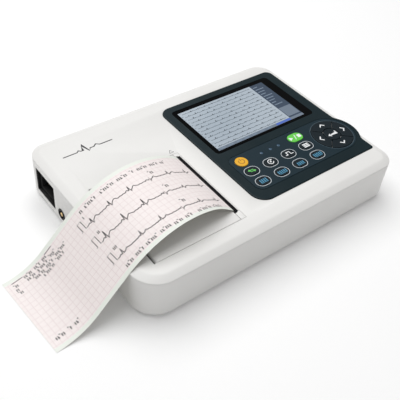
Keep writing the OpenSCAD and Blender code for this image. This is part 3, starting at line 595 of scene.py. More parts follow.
circuit_board = board_material()
border_glass = glass_black()
screen_pale = screen_material("screen_pale", (0.33, 0.39, 0.45), (0.42, 0.48, 0.54), 0.12)
screen_column = screen_material("screen_column", (0.020, 0.040, 0.075), (0.032, 0.058, 0.10), 0.06)
screen_bar = screen_material("screen_bar", (0.12, 0.16, 0.21), (0.16, 0.20, 0.26), 0.10)
screen_blue = screen_material("screen_blue", (0.05, 0.11, 0.42), (0.07, 0.14, 0.50), 0.15)
screen_ink = printed("screen_ink", (0.035, 0.045, 0.06), 0.2)
screen_light = printed("screen_light", (0.20, 0.26, 0.34), 0.2)
chart = chart_paper("chart_paper", 36.3)
# Back, edges and inner web of the paper: a plain paper tone, darkened to grey-olive as painted shade.
plain_paper_shaded = moulded("plain_paper_shaded", (0.76, 0.75, 0.69), 0.55, 800.0, 0.006, 0.02)
wound_paper = roll_paper()


# ---- case ----


def make_bottom_case():
    profile = soft_line([(8, base), (0, base), (0, seam - 0.15), (0.15, seam)], [3, 0], 7)
    inside = soft_line([(wall, seam), (wall, floor_z), (8, floor_z)], [2.5], 4)
    body = Shape()
    body.loft(lofted(case_outline, profile + inside))
    piece = body.make("bottom_shell", [case_white])
    holes = Shape()
    side_holes(holes)
    floor_holes(holes)
    cut(piece, holes)
    soften(piece, 0.35)
    inner_posts()
    return piece


def wall_hole(holes, node, axis, start, end, clear):
    """Hole through a wall along an axis, as large as a node with a clearance below and above it."""
    low, high = box_mm(node)
    low -= Vector(clear[0])
    high += Vector(clear[1])
    low[axis] = start
    high[axis] = end
    holes.block(low, high)


def side_holes(holes):
    """Openings in the side and back walls for what sits in them."""
    past = wall + 1
    wall_hole(holes, "mains_inlet", 0, left - 1, left + past, ([-0.9] * 3, [-0.9] * 3))
    wall_hole(holes, "patient_socket", 0, right - past, right + 1, ([-1] * 3, [-1] * 3))
    for port in ("usb_port", "network_port"):
        wall_hole(holes, port, 1, back - past, back + 1, ((0.15, 0, 0.1), (0.15, 0, 0.15)))
    low, high = box_mm("earth_socket")
    middle = (low + high) / 2
    r = (high.y - low.y) / 2 - 1.4
    ends = (left - 1, left + past)
    holes.loft([[(x, middle.y + b, middle.z + a) for a, b in circle(0, 0, r)] for x in ends])


def floor_holes(holes):
    """Recess for the battery cover, foot and screw recesses, and the speaker slots."""
    wall_hole(holes, "battery_cover", 2, base - 1, base + 1, ([0.2] * 3, [0.2] * 3))
    feet_low, feet_high = box_mm("feet")
    foot_r = 7.0
    for x in (feet_low.x + foot_r, feet_high.x - foot_r):
        for y in (feet_low.y + foot_r, feet_high.y - foot_r):
            holes.prism(circle(x, y, foot_r + 0.1), base - 1, base + 0.5)
    for x, y in screw_places():
        holes.prism(circle(x, y, 3.0, 32), base - 1, base + 2.2)
    speaker_low, speaker_high = box_mm("speaker")
    off_foot = (2, 3)
    pitch = 3.2
    x = (speaker_low.x + speaker_high.x) / 2 + off_foot[0]
    y = (speaker_low.y + speaker_high.y) / 2 + off_foot[1]
    for i in range(-3, 4):
        slot = [(x + i * pitch + a, y + b) for b, a in pill(0, 0, 20 - abs(i) * 3, 1.4)]
        holes.prism(list(reversed(slot)), base - 1, floor_z + 1)


def screw_places():
    """Centres of the six case screws."""
    low, high = box_mm("case_screws")
    head = 2.8
    xs = (low.x + head, panel_x0 - 2, high.x - head)
    return [(x, y) for x in xs for y in (low.y + head, high.y - head)]


def inner_posts():
    """Screw posts between floor and top, seen through the open printer bay."""
    posts = Shape()
    root_r, post_r, short = 5.2, 4, 3
    profile = ((root_r, floor_z), (post_r, floor_z + short), (post_r, top - short))
    for x, y in screw_places():
        posts.loft([[(*p, z) for p in circle(x, y, r, 32)] for r, z in profile])
    piece = posts.make("screw_posts", [case_white_shaded])
    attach(piece, CASE)


def make_top_case():
    flat = band_w + 13
    line = [(0.15, seam), (0, seam + 0.15), (0, seam + 0.9), (band_w, top), (flat, top)]
    outside = soft_line(line, [0, 0.9, 7], 5)
    inside = [(flat, top - wall), (band_w + 1.2, top - wall), (wall, seam)]
    body = Shape()
    body.loft(lofted(case_outline, inside + outside))
    piece = body.make("top_shell", [case_white])
    holes = Shape()
    holes.prism(door_opening(), seam - 2, top + 1)
    cut(piece, holes)
    seat = Shape()
    clear = 0.15
    seat.loft(lofted(panel_outline, [(-clear, panel_top - panel_t - 0.05), (-clear, top + 1)]))
    seat.block(
        (door_edge + slot_w - 1, tear_low.y - clear, tear_low.z - 0.05),
        (tear_high.x + clear, tear_high.y + clear, top + 1),
    )
    cut(piece, seat)
    window = Shape()
    window.loft(lofted(panel_outline, [(4.5, seam - 1), (4.5, top + 1)]))
    cut(piece, window)
    insert_seams(piece)
    soften(piece, 0.12)
    lobe = Shape()
    lobe.loft(lofted(panel_outline, [(0.35, seam + 0.4), (0.35, top - 0.35)]))
    support = lobe.make("panel_support", [case_white])
    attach(support, CASE)
    return piece


def door_opening():
    """Outline of the opening for the door and the paper slot, which is as long as the paper is wide."""
    x0 = hinge.x - barrel_r - 1.5
    x1 = door_edge + door_gap
    x2 = door_edge + slot_w
    y0 = door_low.y - door_gap
    y1 = door_high.y + door_gap
    slot_y0 = tear_low.y - 1.0
    slot_y1 = tear_high.y + 1.0
    slot = [(x1, slot_y0), (x2, slot_y0), (x2, slot_y1), (x1, slot_y1)]
    return [(x0, y0), (x1, y0), *slot, (x1, y1), (x0, y1)]


def insert_seams(piece):
    """Hairline joint round the strip that holds the cutting edge."""
    x0 = door_edge + door_gap
    x1 = tear_high.x + 0.9
    y0 = door_low.y - door_gap
    y1 = door_high.y + door_gap
    x2 = x1 + 0.3
    line = Shape()
    for low, high in (
        ((x0 - 0.1, y0), (x2, y0 + 0.3)),
        ((x1, y0 + 0.2), (x2, y1 - 0.2)),
        ((x0 - 0.1, y1 - 0.3), (x2, y1)),
    ):
        line.block((*low, top - 0.8), (*high, top + 1))
    cut(piece, line)


def panel_outline(inset):
    """Console panel with a lobe round the navigation pad, blended in with concave corners."""
    blend_r = 9.0
    x0, x1 = panel_x0 + inset, panel_x1 - inset
    y0, y1 = panel_low.y + inset, panel_high.y - inset
    reach = lobe_r + blend_r
    blend_x = panel_x1 + blend_r
    rise = math.sqrt(reach**2 - (blend_x - nav.x) ** 2)
    turn = math.degrees(math.asin(rise / reach))
    r = lobe_r - inset
    concave = blend_r + inset
    front_left, front_right, back_right, back_left = [max(v - inset, 0.4) for v in (14, 2, 7, 11)]
    return (
        arc((x0 + front_left, y0 + front_left), front_left, 180, 270, 16)
        + arc((x1 - front_right, y0 + front_right), front_right, 270, 360, 6)
        + arc((blend_x, nav.y - rise), concave, 180, 180 - turn, 8)
        + arc((nav.x, nav.y), r, -turn, turn, 30)[1:-1]
        + arc((blend_x, nav.y + rise), concave, 180 + turn, 180, 8)
        + arc((x1 - back_right, y1 - back_right), back_right, 0, 90, 12)
        + arc((x0 + back_left, y1 - back_left), back_left, 90, 180, 14)
    )


bottom_shell = make_bottom_case()
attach(bottom_shell, CASE)
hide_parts("bottom_case")
top_shell = make_top_case()
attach(top_shell, CASE)
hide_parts("top_case")


# ---- printer door ----


def along_y(section, y0, y1):
    """Rings of an (x, z) section swept along Y."""
    return [[(x, y, z) for x, z in section] for y in (y0, y1)]


def make_door():
    lower = top - door_t
    meet = math.degrees(math.asin((lower - hinge.z) / barrel_r))
    barrel = arc((hinge.x, hinge.z), barrel_r, 90, 360 + meet, 28)
    tip = [(door_edge, lower + 0.5), (door_edge, top - 0.35), (door_edge - 0.35, top)]
    section = barrel + [(door_edge - 0.5, lower)] + tip
    body = Shape()
    body.loft(along_y(section, door_low.y, door_high.y))
    plate = body.make("door_panel", [case_white, case_white_shaded])
    relief = Shape()
    half, length, deep = 15.5, 24, 0.6
    for y in (door_low.y + 7, door_low.y + 36, door_low.y + 65):
        relief.block((roll.x - half, y, lower - 1), (roll.x + half, y + length, lower + deep))
    cut(plate, relief)
    soften(plate, 0.4, 3)
    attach(plate, "door")
    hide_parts("printer_door")
    ears = Shape()
    bush_low, bush_high = box_mm("platen_bushes")
    ear_t = 1.8
    ear_r = 6
    for y in (bush_low.y, bush_high.y - ear_t):
        ear = arc((platen.x, platen.z), ear_r, 180, 360, 24)
        ear += [(door_edge - 0.6, top - 2), (platen.x - ear_r, top - 2)]
        ears.loft(along_y(ear, y, y + ear_t))
    arms = ears.make("door_ears", [case_white_shaded])
    bores = Shape()
    bores.loft(along_y(circle(platen.x, platen.z, 4.0), bush_low.y - 1, bush_high.y + 1))
    cut(arms, bores)
    soften(arms, 0.25)
    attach(arms, "door")


def make_hinge_ears():
    """Ears below the case's top that hold the hinge pins."""
    ears = Shape()
    ear = 2.5
    section = arc((hinge.x, hinge.z), barrel_r, 180, 360, 20)
    section += [(hinge.x + barrel_r, top - 1), (hinge.x - barrel_r, top - 1)]
    for y in (door_low.y - door_gap - ear, door_high.y + door_gap):
        ears.loft(along_y(section, y, y + ear))
    piece = ears.make("hinge_ears", [case_white_shaded])
    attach(piece, CASE)


def make_shade_blocks():
    """Black blocks under the paper slot and under the joints round the door: painted shade where these
    gaps look into the case.
    """
    shape = Shape()
    y0 = tear_low.y - 0.6
    y1 = tear_high.y + 0.6
    edge = door_edge + slot_w
    shape.block((edge - 1.1, y0, seam - 3), (edge + 0.5, y1, tear_low.z - 0.1))
    gap_y0 = door_low.y - door_gap
    gap_y1 = door_high.y + door_gap
    x0 = hinge.x - barrel_r - 1.5
    for y in (gap_y0, gap_y1 - 0.3):
        shape.block((x0 + 1.2, y, top - 2.2), (door_edge + 0.3, y + 0.3, top - 0.7))
    shape.block((x0 - 0.2, gap_y0, seam - 4), (x0 + 1.1, gap_y1, top - 0.8))
    piece = shape.make("slot_shade_blocks", [black_plastic])
    soften(piece, 0.1)
    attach(piece, CASE)


make_door()
make_hinge_ears()
make_shade_blocks()


# ---- console panel, keys and display ----

film_z = panel_top + 0.12
print_z = key_top + 0.03
key_depth = 2.8
key_names = ["power_key", "start_key"] + [f"key_{i}" for i in range(1, 9)]
nav_names = ["nav_right", "nav_up", "nav_left", "nav_down"]


def key_size(name):
    """Centre and size of a pill key without its rim."""
    low, high = box_mm(name)
    rim = 0.8
    middle = (low + high) / 2
    return middle.x, middle.y, high.x - low.x - 2 * rim, high.y - low.y - 2 * rim


def key_outline(name, inset):
    x, y, length, depth = key_size(name)
    return pill(x, y, length - 2 * inset, depth - 2 * inset)


def key_cutters(z0, z1):
    holes = Shape()
    for name in key_names:
        holes.prism(key_outline(name, -0.25), z0, z1)
    holes.prism(circle(nav.x, nav.y, nav_r + 0.25, 72), z0, z1)
    for x in light_xs():
        holes.prism(circle(x, light_y, 1.65, 24), z0, z1)
    return holes


def light_xs():
    """Centres of the three indicator lights."""
    low, high = box_mm("indicator_lights")
    r = 1.6
    return [low.x + r, low.x + r + 11, high.x - r]


light_y = (box_mm("indicator_lights")[0].y + box_mm("indicator_lights")[1].y) / 2


def film_outline(inset):
    """Key area: round at its right end, about the navigation pad."""
    y0, y1 = -61.5 + inset, -13.2 - inset
    end_r = (y1 - y0) / 2
    left_r = 8 - inset
    radii = [left_r, end_r, end_r, left_r]
    return round_box((panel_x0 + 9.3 + inset, y0), (nav.x + end_r, y1), radii, 24)


def glass_outline(inset):
    low = (glass_low.x + inset, glass_low.y + inset)
    high = (glass_high.x - inset, glass_high.y - inset)
    return round_box(low, high, [4.0 - inset] * 4, 8)


def make_panel():
    low = panel_top - panel_t
    line = [(0.1, low), (0, panel_top - 0.9), (0, panel_top), (14, panel_top)]
    profile = soft_line(line, [0, 0.75], 6)
    body = Shape()
    body.loft(lofted(panel_outline, profile[:-1] + [Vector((1.6, panel_top))]))
    panel = body.make("console_face", [panel_teal])
    cut(panel, key_cutters(low - 1, panel_top + 1), 25)
    recess = Shape()
    recess.loft(lofted(glass_outline, [(-0.15, glass_low.z - 0.02), (-0.15, panel_top + 1)]))
    cut(panel, recess, 25)
    groove = Shape()
    deep, clear = panel_top - 0.3, panel_top + 1
    rings = [(-0.25, deep), (-0.25, clear), (0.35, clear), (0.35, deep), (-0.25, deep)]
    groove.loft(lofted(film_outline, rings), closed=False)
    cut(panel, groove, 25)
    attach(panel, CASE)
    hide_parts("console_panel")
    sheet = Shape()
    sheet.loft(lofted(film_outline, [(0.35, panel_top - 0.05), (0.35, film_z - 0.04), (0.42, film_z)]))
    film = sheet.make("key_film", [film_teal])
    cut(film, key_cutters(low - 1, film_z + 1), 25)
    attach(film, CASE)


def make_key_rings():
    """Printed outline round each dark pill key, and the fine line round the navigation pad."""
    shape = Shape()
    z = film_z + 0.03
    for name in key_names[2:]:
        shape.ring(key_outline(name, -1.0), key_outline(name, -0.42), z)
    outer, inner = (circle(nav.x, nav.y, nav_r + gap, 72) for gap in (0.85, 0.45))
    shape.ring(outer, inner, z, 1)
    piece = shape.make("key_rings", [ink_grey, ink_faint])
    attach(piece, CASE)


def cap(shape, outline, z0):
    """Key cap with a rounded rim."""
    profile = soft_line([(0, z0), (0, key_top), (3, key_top)], [0.55], 5)
    shape.loft(lofted(outline, profile[:-1] + [Vector((0.9, key_top))]))


def row_of_bars(count):
    """Upright bars of several heights over a line, a different row for each count."""
    parts = []
    for i in range(4 + count % 2):
        x = (i - 1.5 - (count % 2) / 2) * 1.6
        parts.append((square(x - 0.42, -1.5, x + 0.42, 1.5 - 0.3 * ((i * 3 + count) % 3)), 0))
    return parts + [(square(-3.2, -2.1, 3.2, -1.75), 0)]


KEY_COLOURS = {"key_yellow": key_yellow, "key_green": key_green, "key_dark": key_dark}
# Key: colour, ink, and parts of its symbol as (points, line width), filled where the width is 0
KEYS = {
    "power_key": (
        "key_yellow",
        ink_brown,
        [(arc((0, 0), 2.2, 125, 415, 24), 0.55), (square(-0.28, 0.6, 0.28, 3.1), 0)],
    ),
    "start_key": (
        "key_green",
        ink_white,
        [
            ([(-5.4, -1.9), (-2.2, 0), (-5.4, 1.9)], 0),
            ([(-0.9, -2.4), (0.9, 2.4)], 0.6),
            (square(2.2, -1.6, 5.2, 1.6), 0),
        ],
    ),
    "key_1": (
        "key_dark",
        ink_green,
        [
            ([(-3.2, 0.7), (-1.2, -0.6), (-1.2, 2.0)], 0),
            (square(-1.2, 0.35, 1.6, 1.05), 0),
            ([(3.2, -0.7), (1.2, 0.6), (1.2, -2.0)], 0),
            (square(-1.6, -1.05, 1.2, -0.35), 0),
        ],
    ),
    "key_2": (
        "key_dark",
        ink_white,
        [
            (arc((0, 0), 2.1, 60, 350, 20), 0.6),
            ([(0.5, 2.9), (0.6, 0.8), (2.5, 1.7)], 0),
            (circle(0, 0, 0.7, 16), 0),
        ],
    ),
    "key_3": (
        "key_dark",
        ink_white,
        [([(-3.6, -1.1), (-1.6, -1.1), (-1.6, 1.5), (1.2, 1.5), (1.2, -1.1), (3.6, -1.1)], 0.6)],
    ),
    "key_4": (
        "key_dark",
        ink_white,
        [(square(-2.6, y, 2.6, y + high), 0) for y, high in ((-1.9, 1.0), (-0.45, 0.9), (0.9, 1.0))],
    ),
}
for bars in range(4):
    KEYS[f"key_{bars + 5}"] = ("key_dark", ink_blue, row_of_bars(bars))


def make_key(name, slot, ink, symbol):
    """Pill key with its printed symbol."""
    shape = Shape()
    cap(shape, lambda inset: key_outline(name, inset), panel_top - key_depth)
    x, y, _, _ = key_size(name)
    grow = 1.3
    for points, width in symbol:
        placed = [(x + a * grow, y + b * grow) for a, b in points]
        if width:
            shape.stroke(placed, width * grow, print_z, 1)
        else:
            shape.plate(placed, print_z, 1)
    piece = shape.make(f"{name}_cap", [KEY_COLOURS[slot], ink])
    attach(piece, name)
    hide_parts(name)


def make_nav(name, turn):
    """Quarter of the navigation ring, with a chevron pointing outwards."""
    inner = enter_r + 0.5

    def outline(inset):
        gap = 0.25 + inset
        outer_r = nav_r - inset
        inner_r = inner + inset
        outer_turn = 45 - math.degrees(math.asin(gap / outer_r))
        inner_turn = 45 - math.degrees(math.asin(gap / inner_r))
        return arc((nav.x, nav.y), outer_r, turn - outer_turn, turn + outer_turn, 20) + arc(
            (nav.x, nav.y), inner_r, turn + inner_turn, turn - inner_turn, 20
        )

    shape = Shape()
    cap(shape, outline, panel_top - key_depth)
    a = math.radians(turn)
    out = Vector((math.cos(a), math.sin(a)))
    side = Vector((-out.y, out.x))
    middle = Vector((nav.x, nav.y)) + out * (inner + nav_r) / 2
    chevron = [middle - out * 1.5 - side * 2.9, middle + out * 1.3, middle - out * 1.5 + side * 2.9]
    shape.stroke([tuple(p) for p in chevron], 1.15, print_z, 1)
    piece = shape.make(f"{name}_cap", [key_dark, ink_white])
    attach(piece, name)
    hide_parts(name)


def make_enter():
    """Round key in the middle, with a return arrow."""
    shape = Shape()
    cap(shape, lambda inset: circle(nav.x, nav.y, enter_r - inset), panel_top - key_depth)
    x, y = nav.x, nav.y
    shape.stroke([(x + 5.0, y + 2.6), (x + 5.0, y - 0.7), (x - 3.0, y - 0.7)], 1.2, print_z, 1)
    shape.plate([(x - 5.6, y - 0.7), (x - 2.5, y - 2.9), (x - 2.5, y + 1.5)], print_z, 1)
    piece = shape.make("enter_key_cap", [key_dark, ink_white])
    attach(piece, "enter_key")
    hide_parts("enter_key")


def make_keys():
    for name, (slot, ink, symbol) in KEYS.items():
        make_key(name, slot, ink, symbol)
    for i, name in enumerate(nav_names):
        make_nav(name, 90 * i)
    make_enter()


# Waves of a heartbeat: (place, width, height), in shares of a beat and of full height
WAVES = [
    (0.14, 0.030, 0.14),
    (0.24, 0.008, -0.16),
    (0.27, 0.009, 1.0),
    (0.305, 0.009, -0.45),
    (0.52, 0.055, 0.30),
]


def heartbeat(phase, lead=0, broad=1.0):
    """Height of the trace at a phase of the beat; lead varies the waves, broad widens the quick ones."""
    part = phase % 1.0
    height = 0.0
    for k, (place, width, size) in enumerate(WAVES):
        scale = 1.0 + 0.22 * math.sin(1.7 * lead + 2.3 * k)
        wide = width * (broad if width < 0.02 else 1.0)
        height += size * scale * math.exp(-(((part - place) / wide) ** 2) / 2)
    return height


def make_display():
    lcd_low, lcd_high = box_mm("lcd_module")
    rim = 6.0
    x0, y0 = lcd_low.x + rim, lcd_low.y + rim
    x1, y1 = lcd_high.x - rim, lcd_high.y - rim
    z = glass_high.z
    shape = Shape()
    rings = lofted(glass_outline, [(0, glass_low.z + 0.05), (0, z - 0.2), (0.06, z - 0.06), (0.2, z)])
    shape.loft(rings, closed=False)
    shape.ring(glass_outline(0.2), round_box((x0, y0), (x1, y1), [0.2] * 4, 8), z)
    split = x0 + (x1 - x0) * 0.845
    status = y0 + 3.4
    shape.bar(x0, status, split, y1, z, 1)
    shape.bar(split, status, x1, y1, z, 2)
    shape.bar(x0, y0, x1, status, z, 3)
    ink = z + 0.03
    rows = 12
    pitch = 0.55
    beat_length = 8.5
    step = (y1 - status) / rows
    for row in range(rows):
        base_y = status + step * (row + 0.35)
        line = []
        for i in range(int((split - x0 - 5) / pitch)):
            beat = heartbeat((i * pitch + row * 2.3) / beat_length, row, 3.0)
            line.append((x0 + 3 + i * pitch, base_y + 2.6 * beat))
        shape.stroke(line, 0.42, ink, 4)
        shape.bar(x0 + 0.8, base_y + 1.6, x0 + 2.2, base_y + 2.0, ink, 4)
    for i in range(9):
        shape.bar(split + 1.6, y1 - 5 - i * 4.2, split + 7 + (i * 5 % 7), y1 - 3.9 - i * 4.2, ink, 5)
    shape.bar(split + 0.8, status + 2, x1 - 0.8, status + 17, ink, 3)
    shape.bar(split - 19, y0 + 0.3, split - 0.5, y0 + 3.1, ink, 6)
    for i in range(7):
        shape.bar(x0 + 3 + i * 9.6, y0 + 0.9, x0 + 9 + i * 9.6, y0 + 2.4, ink, 5)
    screens = [screen_pale, screen_column, screen_bar, screen_ink, screen_light, screen_blue]
    piece = shape.make("display_face", [border_glass, *screens])
    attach(piece, CASE)
    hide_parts("display_glass")


def make_case_prints():
    """Plain marks on the case's top: a pulse line behind the door, and a paper mark by the slot."""
    z = top + 0.03
    shape = Shape()
    x, y = left + 21, 66.0
    pulse = [(0, 0), (14, 0), (16, 1.8), (18, 0), (20, 0), (22, 7.5), (25, -3), (27, 0)]
    pulse += [(31, 0), (34, 2.4), (37, 0), (50, 0)]
    shape.stroke([(x + a, y + b) for a, b in pulse], 1.1, z, 0)
    tip = door_edge + 1.2
    triangle = [(tip - 2.2, 21.8), (tip + 2.2, 21.8), (tip, 25.4), (tip - 2.2, 21.8)]
    shape.stroke(triangle, 0.5, z, 1)
    piece = shape.make("case_prints", [ink_dark, ink_soft])
    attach(piece, CASE)


make_panel()
make_key_rings()
make_keys()
make_display()
make_case_prints()


# ---- printed paper strip ----

slot_x = door_edge + slot_w * 0.4
turn_r = 3.0
exit_angle = math.radians(38)
exit_z = top - 1.3
arch_r = 84.0
fall = math.radians(43)
landing_r = 55.0
landed_z = 0.3
yaw_end = math.radians(4)
yaw_run = 30.0
sheet_t = 0.12
below_slot = 8.0


def side_line():
    """Side view of the strip after the bend: (run along the table, height, length of paper)."""
    start_z = exit_z + turn_r * math.cos(exit_angle)
    drop = start_z - landed_z
    drop -= arch_r * (math.cos(exit_angle) - math.cos(fall)) + landing_r * (1 - math.cos(fall))
    straight = drop / math.sin(fall)
    line = []
    steps = 110
    for k in range(steps + 1):
        a = exit_angle - (exit_angle + fall) * k / steps
        run = arch_r * (math.sin(exit_angle) - math.sin(a))
        height = start_z + arch_r * (math.cos(a) - math.cos(exit_angle))
        line.append((run, height, arch_r * (exit_angle - a)))
    run, height, length = line[-1]
    steps = 30
    for k in range(1, steps + 1):
        part = straight * k / steps
        line.append((run + part * math.cos(fall), height - part * math.sin(fall), length + part))
    run, height, length = line[-1]
    for k in range(1, steps + 1):
        a = fall * (1 - k / steps)
        along = run + landing_r * (math.sin(fall) - math.sin(a))
        height = landed_z + landing_r * (1 - math.cos(a))
        line.append((along, height, length + landing_r * (fall - a)))
    return line


def strip_stations():
    """Points along the middle of the strip: (length from the slot, x, y, z, yaw)."""
    stations = []
    for k in range(5):
        z = exit_z - below_slot * (1 - k / 4)
        stations.append((-turn_r * (math.pi / 2 - exit_angle) - exit_z + z, slot_x, paper_mid, z, 0.0))
    bend = math.pi / 2 - exit_angle
    for k in range(1, 10):
        a = bend * k / 10
        x = slot_x - turn_r * (1 - math.cos(a))
        stations.append((turn_r * (a - bend), x, paper_mid, exit_z + turn_r * math.sin(a), 0.0))
    x = slot_x - turn_r * (1 - math.cos(bend))
    y = paper_mid
    before = 0.0
    for run, z, length in side_line():
        share = min(run / yaw_run, 1)
        yaw = yaw_end * share * share * (3 - 2 * share)
        x -= (run - before) * math.cos(yaw)
        y -= (run - before) * math.sin(yaw)
        before = run
        stations.append((length, x, y, z, yaw))
    return stations


stations = strip_stations()


def on_strip(length, across, lift):
    """Point on the strip at a length from the slot and a distance across, raised off its middle."""
    k = 1
    while k < len(stations) - 1 and stations[k][0] < length:
        k += 1
    a, b = stations[k - 1], stations[k]
    f = (length - a[0]) / (b[0] - a[0])
    place = Vector([a[i] + (b[i] - a[i]) * f for i in (1, 2, 3)])
    yaw = a[4] + (b[4] - a[4]) * f
    side = Vector((-math.sin(yaw), math.cos(yaw), 0))
    ahead = Vector((b[1] - a[1], b[2] - a[2], b[3] - a[3])).normalized()
    return place + side * across + ahead.cross(side).normalized() * -lift


def strip_sheet(shape):
    """The sheet: printed face, plain back and edges. Returns (length, across) of every point."""
    columns = 16
    places = [paper_half * (2 * c / columns - 1) for c in range(columns + 1)]
    section = [(v, sheet_t / 2) for v in places] + [(v, -sheet_t / 2) for v in reversed(places)]
    lengths = [station[0] for station in stations]
    shape.loft([[on_strip(s, v, lift) for v, lift in section] for s in lengths])
    for k in range(len(shape.slots)):
        if k % len(section) >= columns:
            shape.slots[k] = 1
    shape.slots[-2:] = [1, 1]
    return [(s, v) for s in lengths for v, lift in section]


def strip_stroke(shape, line, width, slot):
    """Printed line on the strip through (length, across) points."""
    lift = sheet_t / 2 + 0.035
    for (a, b), (c, d) in line_pieces(line, width, 1.0):
        shape.add([on_strip(p.x, p.y, lift) for p in (a, b, d, c)], [[0, 1, 2, 3]], slot)


def strip_bar(shape, s0, v0, s1, v1, slot):
    """Printed rectangle, cut into short lengths that follow the curve."""
    steps = max(1, round(abs(s1 - s0) / 1.5))
    middle = (v0 + v1) / 2
    line = [(s0 + (s1 - s0) * k / steps, middle) for k in range(steps + 1)]
    strip_stroke(shape, line, abs(v1 - v0), slot)


def words(shape, start, across, lengths, height, slot):
    """A line of made-up print: bars and short strokes in groups, read towards the slot."""
    at = start
    pitch = height * 0.62
    stroke = height * 0.28
    for n, count in enumerate(lengths):
        for k in range(count):
            kind = (k * 7 + n * 5 + count) % 4
            if kind != 3:
                strip_bar(shape, at, across - height / 2, at - stroke, across + height / 2, slot)
            if kind != 1:
                level = across + (kind - 1) * height * 0.36
                strip_bar(shape, at, level - stroke / 2, at - pitch * 0.7, level + stroke / 2, slot)
            if kind == 0:
                strip_bar(shape, at - pitch * 0.5, across - height / 2, at - pitch * 0.7, across, slot)
            at -= pitch
        at -= pitch * 1.6


# Lines of made-up print: (start, across, marks in each word, height of the marks)
PRINTED_LINES = [
    (112, 31.5, [2, 7], 2.8),
    (89, 31.0, [8], 2.8),
    (72, 30.5, [6, 2], 2.8),
    (52, 30.0, [6, 5, 3], 2.8),
    (115, -34.0, [5, 5, 7, 6], 2.7),
    (66, -35.5, [5, 4], 2.7),
    (42, -35.5, [9, 7], 2.7),
    (181, 33.5, [5, 4, 4], 2.6),
    (180, 29.6, [5, 7, 5], 2.6),
    (176, 25.7, [7, 5, 9], 2.6),
    (168, 21.8, [8, 6], 2.6),
    (192, 31.0, [3], 2.4),
    (192, 27.1, [2], 2.4),
    (192, 23.2, [3], 2.4),
    (192, -30.0, [5, 2, 3], 2.8),
]
LEAD_BASES = (13.0, -7.0, -28.0)
LEAD_HEIGHTS = (6.5, 7.5, 4.5, 5.5, 4.5, 4.0)
PULSE = [(122, 4.2), (120.7, 4.2), (120.7, 13), (116.7, 13), (116.7, 4.1), (114.5, 4)]


def lead_line(first, end, base_v, kind):
    """Points of one lead's trace from a length down to another, drifting towards the front."""
    beat_length = 19.5
    line = []
    for i in range(int((first - end) / 0.5)):
        s = first - i * 0.5
        beat = LEAD_HEIGHTS[kind] * heartbeat((109.5 - s) / beat_length + 0.27, kind, 2.2)
        line.append((s, base_v + 4 * s / 115 + beat + 0.25 * math.sin(s * 1.9 + kind)))
    return line


def draw_traces(shape, ink):
    """Three rows: calibration pulse, first lead with its number, change mark and second lead."""
    change = 50.5
    for row, base_v in enumerate(LEAD_BASES):
        strip_stroke(shape, [(s, base_v + v) for s, v in PULSE], 0.6, ink)
        strip_stroke(shape, lead_line(114.5, 51.0, base_v, row), 0.72, ink)
        strip_stroke(shape, lead_line(50.0, 6.0, base_v, row + 3), 0.72, ink)
        strip_stroke(shape, [(change, base_v - 1), (change, base_v + 4)], 0.35, ink)
        for k in range(row + 1):
            s = 113 - 1.3 * k
            strip_bar(shape, s, base_v + 11.2, s - 0.6, base_v + 14.2, ink)
        words(shape, 47, base_v + 8.4, [3], 2.9, ink)


def draw_texts(shape, ink):
    """Header, footer and the lines at the far end, as marks that spell nothing, and two rules."""
    for start, across, lengths, height in PRINTED_LINES:
        words(shape, start, across, lengths, height, ink)
    for start, end in ((157, 148), (192, 182)):
        strip_bar(shape, start, 35.0, end, 35.6, ink)


def make_strip():
    shape = Shape()
    places = strip_sheet(shape)
    draw_traces(shape, 2)
    draw_texts(shape, 3)
    piece = shape.make("printed_strip", [chart, plain_paper_shaded, trace_ink, text_ink], 60)
    layer = piece.data.uv_layers.new(name="sheet")
    for loop in piece.data.loops:
        if loop.vertex_index < len(places):
            length, across = places[loop.vertex_index]
            layer.data[loop.index].uv = (length * MM + 0.2, across * MM)
    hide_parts("paper_strip")
    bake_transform(piece)


def make_web():
    """The paper inside: off the roll, under the platen and up to the slot."""
    roll_r = (paper_high.z - paper_low.z) / 2 + 0.2
    platen_low, platen_high = box_mm("platen_rubber")
    web_r = (platen_high.z - platen_low.z) / 2 + 0.2
    apart = Vector((platen.x - roll.x, platen.z - roll.z))
    slope = math.atan2(apart.y, apart.x) + math.asin((roll_r - web_r) / apart.length)
    line = [(roll.x + roll_r * math.sin(slope), roll.z - roll_r * math.cos(slope))]
    for k in range(13):
        a = slope + (math.pi / 2 - slope) * k / 12
        line.append((platen.x + web_r * math.sin(a), platen.z - web_r * math.cos(a)))
    shape = Shape()
    for (xa, za), (xb, zb) in zip(line, line[1:]):
        corners = [(xa, -1, za), (xb, -1, zb), (xb, 1, zb), (xa, 1, za)]
        quad = [(x, paper_mid + side * paper_half, z) for x, side, z in corners]
        shape.add(quad, [[0, 1, 2, 3]])
    web = shape.make("paper_web", [plain_paper_shaded], 60)
    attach(web, CASE)


make_strip()
make_web()


# ---- CAD pieces that stay, with softened edges ----


def smooth_group():
    """Geometry nodes that shade smooth and keep edges above 35 degrees sharp."""
    group = bpy.data.node_groups.new("smooth_by_angle", "GeometryNodeTree")
    group.interface.new_socket("Geometry", in_out="INPUT", socket_type="NodeSocketGeometry")
    group.interface.new_socket("Geometry", in_out="OUTPUT", socket_type="NodeSocketGeometry")
    enter = group.nodes.new("NodeGroupInput")
    leave = group.nodes.new("NodeGroupOutput")
    faces = group.nodes.new("GeometryNodeSetShadeSmooth")
    faces.domain = "FACE"
    edges = group.nodes.new("GeometryNodeSetShadeSmooth")
    edges.domain = "EDGE"
    angle = group.nodes.new("GeometryNodeInputMeshEdgeAngle")
    flat = group.nodes.new("FunctionNodeCompare")
    flat.operation = "LESS_THAN"
    flat.inputs["B"].default_value = math.radians(35)
    group.links.new(enter.outputs[0], faces.inputs["Geometry"])
    group.links.new(faces.outputs["Geometry"], edges.inputs["Geometry"])
    group.links.new(angle.outputs["Unsigned Angle"], flat.inputs["A"])
    group.links.new(flat.outputs["Result"], edges.inputs["Shade Smooth"])
    group.links.new(edges.outputs["Geometry"], leave.inputs[0])
    return group


smoothing = smooth_group()


